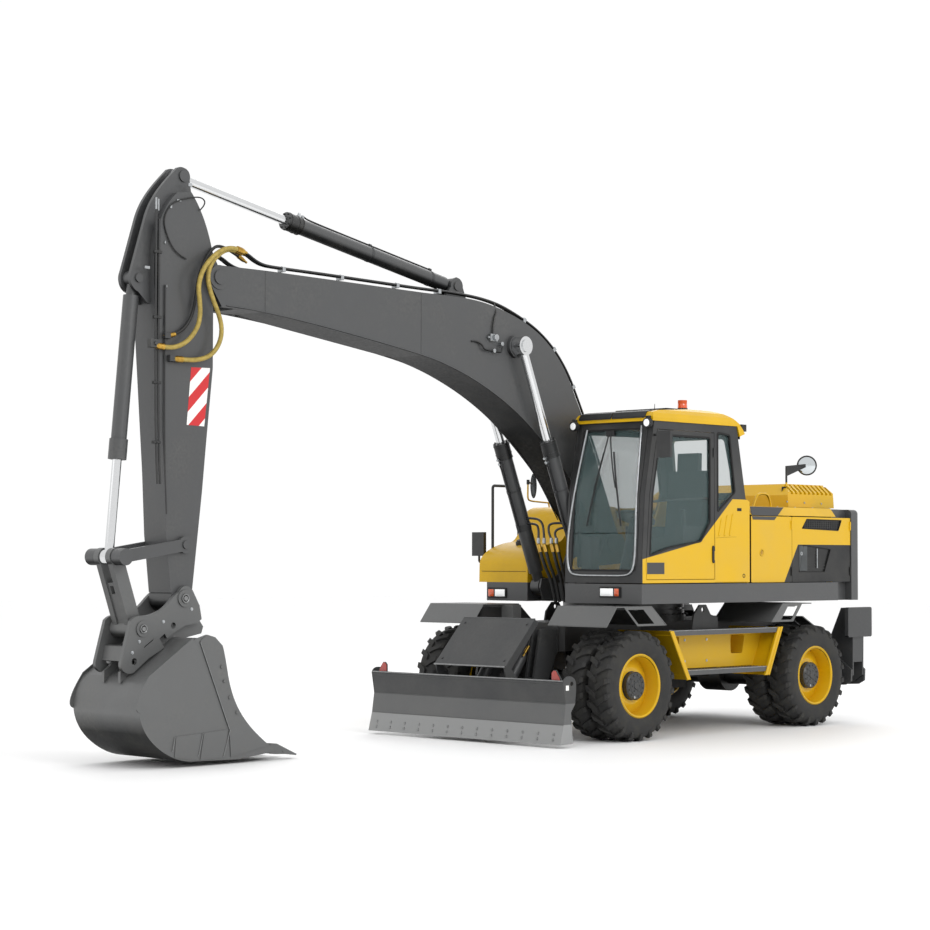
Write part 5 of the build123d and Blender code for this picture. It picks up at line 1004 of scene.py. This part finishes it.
# hoop on the deck behind the cab, bolts along the hood, raised studs
addPipe("deckHoop", [(-0.88, 1.0, 2.268), (-0.9, 1.0, 2.31), (-0.934, 1.0, 2.367), (-0.965, 1.0, 2.4),
    (-1.04, 1.0, 2.408), (-1.11, 1.0, 2.405), (-1.15, 1.0, 2.38), (-1.18, 1.0, 2.307), (-1.185, 1.0, 2.268)], 0.0125,
    yellowEnamel, "upper")
bm = bmesh.new()
addBolts(bm, [(-1.12 - 0.31 * k, 1.13, 2.2705) for k in range(4)], (0, 0, 1), 0.009, 0.006)
addBolts(bm, [(-0.62, 0.6 + 0.2 * k, 2.2705) for k in range(3)], (0, 0, 1), 0.009, 0.006)
finishPiece(bm, "hoodBolts", silverZinc, "upper", "cast")
bm = bmesh.new()
for row in range(18):
    for column in range(8):
        x, y = -0.70 - row * 0.03, -1.0 + column * 0.05 + (row % 2) * 0.025
        addRod(bm, (x, y, 2.2705), (x, y, 2.2745), 0.007, 0.004, 8)
finishPiece(bm, "antiSlipStuds", yellowEnamel, "upper", "yellow", smooth=60)

# tank: rod of the mirror on top, filler cap and seam
addPipe("tankMirrorRod", [(-0.135, -1.16, 2.331), (-0.14, -1.14, 2.25), (-0.13, -1.1, 2.16), (-0.1, -1.06, 2.05)],
    0.009, yellowEnamel, "upper")
rodPiece("fillerCap", [((0.52, -0.95, 1.86), (0.535, -0.95, 1.915), 0.055, 0.05, 28),
    ((0.533, -0.95, 1.912), (0.539, -0.95, 1.93), 0.04, 0.036, 28)], blackPlastic, "upper", "trim", bevel=0.004)
blockPiece("tankSeam", [((0.8515, -1.2, 1.6), (0.8532, -0.58, 1.604))], sealRubber, "upper", "trim")

# round mirror's glass, facing forward and out
centre, face = Vector((-2.107, 0.8, 2.739)), Vector((0.8, 0.58, -0.08)).normalized()
turn = face.to_track_quat("Z", "Y").to_matrix().to_4x4()
for name, material, slot, steps, rings in (
    ("roundMirrorGlass", mirrorGlass, "glass", 40, [(0.0, 0.026), (0.04, 0.025), (0.07, 0.022), (0.092, 0.018)]),
    ("roundMirrorRim", blackPlastic, "trim", 48,
     [(0.09, 0.014), (0.093, 0.022), (0.1, 0.023), (0.107, 0.016), (0.108, 0.004), (0.104, -0.004)]),
):
    bm = bmesh.new()
    addTurned(bm, [turn @ Vector((r, 0, h)) + centre for r, h in rings], centre, face, steps)
    finishPiece(bm, name, material, "hood_lid", slot)

# black sheets inside the hollow lid behind its louvres as painted shade, bolts below them, a pressed crease in the side
# panel
blockPiece("louvreShadowSheet", [((-2.39, y - 0.002, 2.428), (-1.62, y + 0.002, 2.5)) for y in (0.824, -0.824)],
    blackPlastic, "hood_lid", "trim")
bm = bmesh.new()
addBolts(bm, [(-1.567, 0.9285, 2.337), (-1.879, 0.9285, 2.331), (-2.187, 0.9285, 2.327)], (0, 1, 0), 0.009, 0.006)
finishPiece(bm, "lidBolts", silverZinc, "hood_lid", "cast")
addPipe("sideCrease", [(0.06, 1.2385, 1.943), (-0.1, 1.2385, 1.952), (-0.283, 1.2385, 1.956)], 0.0035, yellowEnamel,
    "upper")

# oval mirror on a yellow bracket over the tank
mirrorFace = Vector((0.79, 0.61, 0.0))
across = Vector((-mirrorFace.y, mirrorFace.x, 0))
bm = bmesh.new()
glassDisc = bmesh.new()
for target, wide, high, back, front in ((bm, 0.034, 0.133, -0.014, 0.012), (glassDisc, 0.024, 0.12, 0.0, 0.0135)):
    rim = [Vector((0.1, -1.16, 2.507)) + across * wide * cos(k * pi / 16) + Vector((0, 0,
        high * sin(k * pi / 16))) + mirrorFace * back for k in range(32)]
    addPlate(target, rim, tuple(mirrorFace * (front - back)))
finishPiece(bm, "tankMirror", blackPlastic, "upper", "trim", bevel=0.004)
finishPiece(glassDisc, "tankMirrorGlass", mirrorGlass, "upper", "glass")
addPipe("tankMirrorStem", [(0.188, -1.16, 2.56), (0.19, -1.16, 2.45), (0.192, -1.16, 2.37), (0.16, -1.16, 2.345),
    (0.0, -1.16, 2.337), (-0.135, -1.16, 2.331)], 0.009, yellowEnamel, "upper")
rodPiece("tankMirrorJoint", [((0.186, -1.16, 2.52), (0.186, -1.16, 2.57), 0.017),
    ((0.186, -1.16, 2.545), (0.12, -1.16, 2.53), 0.009)], blackPlastic, "upper", "trim", bevel=0.003)
print("house ready")


# dark channel treads with a light lip and raised studs, both sides
for hand, sign in (("Left", 1), ("Right", -1)):
    bm = bmesh.new()
    lip = bmesh.new()
    for front, back, top in ((0.735, -1.043, 1.03), (0.517, -0.843, 0.64)):
        addBlock(bm, (back, sign * 1.2125, top - 0.043), (front, sign * 1.2185, top + 0.004))
        addBlock(bm, (back + 0.012, sign * 1.03, top), (front - 0.012, sign * 1.2125, top + 0.004))
        count = int((front - back) / 0.05)
        for k in range(count):
            for y in (1.06, 1.11, 1.16):
                x = back + 0.04 + k * (front - back - 0.08) / (count - 1) + (0.012 if y == 1.11 else 0)
                addRod(bm, (x, sign * y, top + 0.003), (x, sign * y, top + 0.009), 0.011, 0.006, 10)
        addBlock(lip, (back, sign * 1.2115, top + 0.002), (front, sign * 1.2205, top + 0.0075))
    finishPiece(bm, f"stepTreads{hand}", greyEnamel, "chassis", "dark_grey", smooth=30)
    finishPiece(lip, f"stepTreadLips{hand}", silverZinc, "chassis", "cast", bevel=0.002)
    # rolled bright edges of the sloped end plates
    for end, x0, z0, x1, z1 in (("Front", 0.757, 1.035, 0.49, 0.556), ("Rear", -1.06, 1.04, -0.831, 0.557)):
        line = [(x, sign * 1.2255, z) for x, z in ((x0, z0), ((x0 + x1) / 2, (z0 + z1) / 2), (x1, z1))]
        addPipe(f"stepEdge{hand}{end}", line, 0.0125, yellowEnamel, "chassis")
    bm = bmesh.new()
    addBolts(bm, [(x, sign * 1.12, 1.0345) for x in (-0.95, -0.93, 0.6, 0.63)], (0, 0, 1), 0.009, 0.007)
    addBolts(bm, [(x, sign, z) for x in (-0.1, 0.25) for z in (0.72, 0.93)], (0, sign, 0), 0.011, 0.007)
    finishPiece(bm, f"stepBolts{hand}", silverZinc, "chassis", "cast")

# ring bolts under the upper frame
bm = bmesh.new()
for a in [k * pi / 20 for k in range(40)]:
    places = [(r * cos(a), r * sin(a), z) for r, z in ((0.594, 1.169), (0.653, 1.1695))]
    addBolts(bm, places, (0, 0, 1), 0.013, 0.012)
finishPiece(bm, "ringBolts", castSteel, "chassis", "cast")

# blade: markers, white reflectors, bolted edge, lips and folds, cover plate's bolts
bm = bmesh.new()
for sign in (1, -1):
    rows = [(1.094, 0.62), (1.096, 0.682), (1.117, 0.704), (1.144, 0.704), (1.19, 0.64), (1.2, 0.61)]
    addPlate(bm, [(2.3195, sign * y, z) for y, z in rows], (0.006, 0, 0))
finishPiece(bm, "bladeMarkers", redLens, "blade", "trim", bevel=0.003, segments=3)
blockPiece("bladeReflectors", [((2.284, sign * 1.2702, 0.527), (2.324, sign * 1.2722, 0.573)) for sign in (1, -1)],
    whiteSticker, "blade", "trim")
bm = bmesh.new()
for k in range(13):
    y = -1.17 + k * 0.195
    for z in (0.075, 0.125):
        x = 2.4 - (z - 0.032) * 48 / 183
        addRod(bm, (x - 0.004, y, z), (x + 0.006, y, z + 0.0015), 0.016, 0.012, 14)
finishPiece(bm, "bladeEdgeBolts", groundSteel, "blade", "cast")
for name, x, z, half, radius, material, slot in (
    ("bladeTopLip", 2.352, 0.6125, 1.262, 0.0075, groundSteel, "tool_grey"),
    ("bladeFoldLow", 2.353, 0.215, 1.262, 0.003, bucketEnamel, "tool_grey"),
    ("bladeFoldHigh", 2.3265, 0.405, 1.262, 0.003, bucketEnamel, "tool_grey"),
    ("coverLowerLip", 2.283, 0.712, 0.47, 0.009, groundSteel, "tool_grey"),
    ("coverUpperLip", 1.864, 1.155, 0.47, 0.007, greyEnamel, "dark_grey"),
):
    addPipe(name, [(x, -half, z), (x, 0.0, z), (x, half, z)], radius, material, "blade")
bm = bmesh.new()
slope = Vector((2.281 - 1.866, 0, 0.714 - 1.157)).normalized()
out = Vector((-slope.z, 0, slope.x))
for y in (-0.41, 0.41):
    for s in (0.07, 0.53):
        place = Vector((1.866, y, 1.157)) + slope * s
        addRod(bm, place - out * 0.002, place + out * 0.007, 0.012, segments=6)
finishPiece(bm, "coverBolts", castSteel, "blade", "cast")

# hoses over the axle to the blade's cylinders
for index, y in enumerate((-0.27, -0.12, 0.12, 0.27)):
    flexHose(f"bladeHose{index}", [(1.56, y * 0.6, 1.08), (1.66, y * 0.7, 1.10), (1.72, y * 0.85, 1.05),
        (1.725, y, 0.95), (1.75, y, 0.87), (1.78, y * 0.95, 0.82)], 0.0115, hoseRubber, ("chassis", "blade_barrels"))
print("chassis and blade ready")


# bucket: tooth adapters' pins, cutter bolts, wear edges; coupler heads; link bolts
bm = bmesh.new()
for index in range(5):
    y = gearY + (index - 2) * 0.79 / 4
    for low, high in ((y - 0.0455, y - 0.0375), (y + 0.0375, y + 0.0455)):
        sidePlate(bm, [(5.03, 0.148), (4.93, 0.124), (4.845, 0.088), (4.85, 0.045), (4.955, 0.05), (5.04, 0.058)], low,
            high)
    addRod(bm, (4.885, y - 0.05, 0.076), (4.885, y + 0.05, 0.076), 0.014, segments=14)
finishPiece(bm, "toothAdapters", bucketEnamel, "bucket", "tool_grey", bevel=0.004)
bm = bmesh.new()
for low, high in ((-0.6115, -0.6075), (0.3075, 0.3115)):
    sidePlate(bm, [(5.822, 1.03), (5.815, 1.03), (5.497, 0.296), (5.503, 0.293)], low, high)
    for x0, z0, x1, z1 in ((6.075, 0.259, 6.101, 0.138), (5.78, 0.276, 5.829, 0.086), (5.488, 0.289, 5.561, 0.062)):
        sidePlate(bm, [(x0, z0), (x0 + 0.007, z0), (x1 + 0.007, z1), (x1, z1)], low, high)
finishPiece(bm, "bucketWelds", groundSteel, "bucket", "tool_grey", bevel=0.001)
bm = bmesh.new()
for y, out in ((-0.608, -1), (0.308, 1)):
    addBolts(bm, [(5.59, y, 0.82), (5.56, y, 0.7), (5.5, y, 0.56), (5.42, y, 0.43)], (0, out, 0), 0.015, 0.008)
finishPiece(bm, "sideCutterBolts", bucketEnamel, "bucket", "tool_grey")
bm = bmesh.new()
for x, z, radius in ((5.778, 1.392, 0.04), (6.218, 1.144, 0.038)):
    for out in (1, -1):
        y = gearY + out * (0.192 + 0.022)
        addRing(bm, [(0.0, out * 0.003), (radius * 0.5, out * 0.003), (radius * 0.55, 0.0), (radius * 0.7, 0.0),
            (radius * 0.8, out * 0.003), (radius * 0.97, out * 0.002), (radius, -out * 0.004)], (x, y, z), 32)
finishPiece(bm, "couplerPinCaps", groundSteel, "bucket", "tool_grey")
bm = bmesh.new()
for out in (1, -1):
    places = [(x, gearY + out * 0.192, z) for x, z in ((5.7, 1.3), (6.0, 1.2), (6.25, 1.04), (6.32, 0.95))]
    addBolts(bm, places, (0, out, 0), 0.012, 0.008)
finishPiece(bm, "couplerBolts", silverZinc, "bucket", "cast")
# latch hook between the coupler's plates
platePiece("latchHook", [([(6.05, 1.12), (6.16, 1.06), (6.27, 0.95), (6.3, 0.87), (6.25, 0.84), (6.22, 0.9),
    (6.12, 0.98), (6.03, 1.03)], -0.19, -0.11)], castSteel, "bucket", "cast", bevel=0.006)
print("bucket and coupler ready")


print("scene ready")
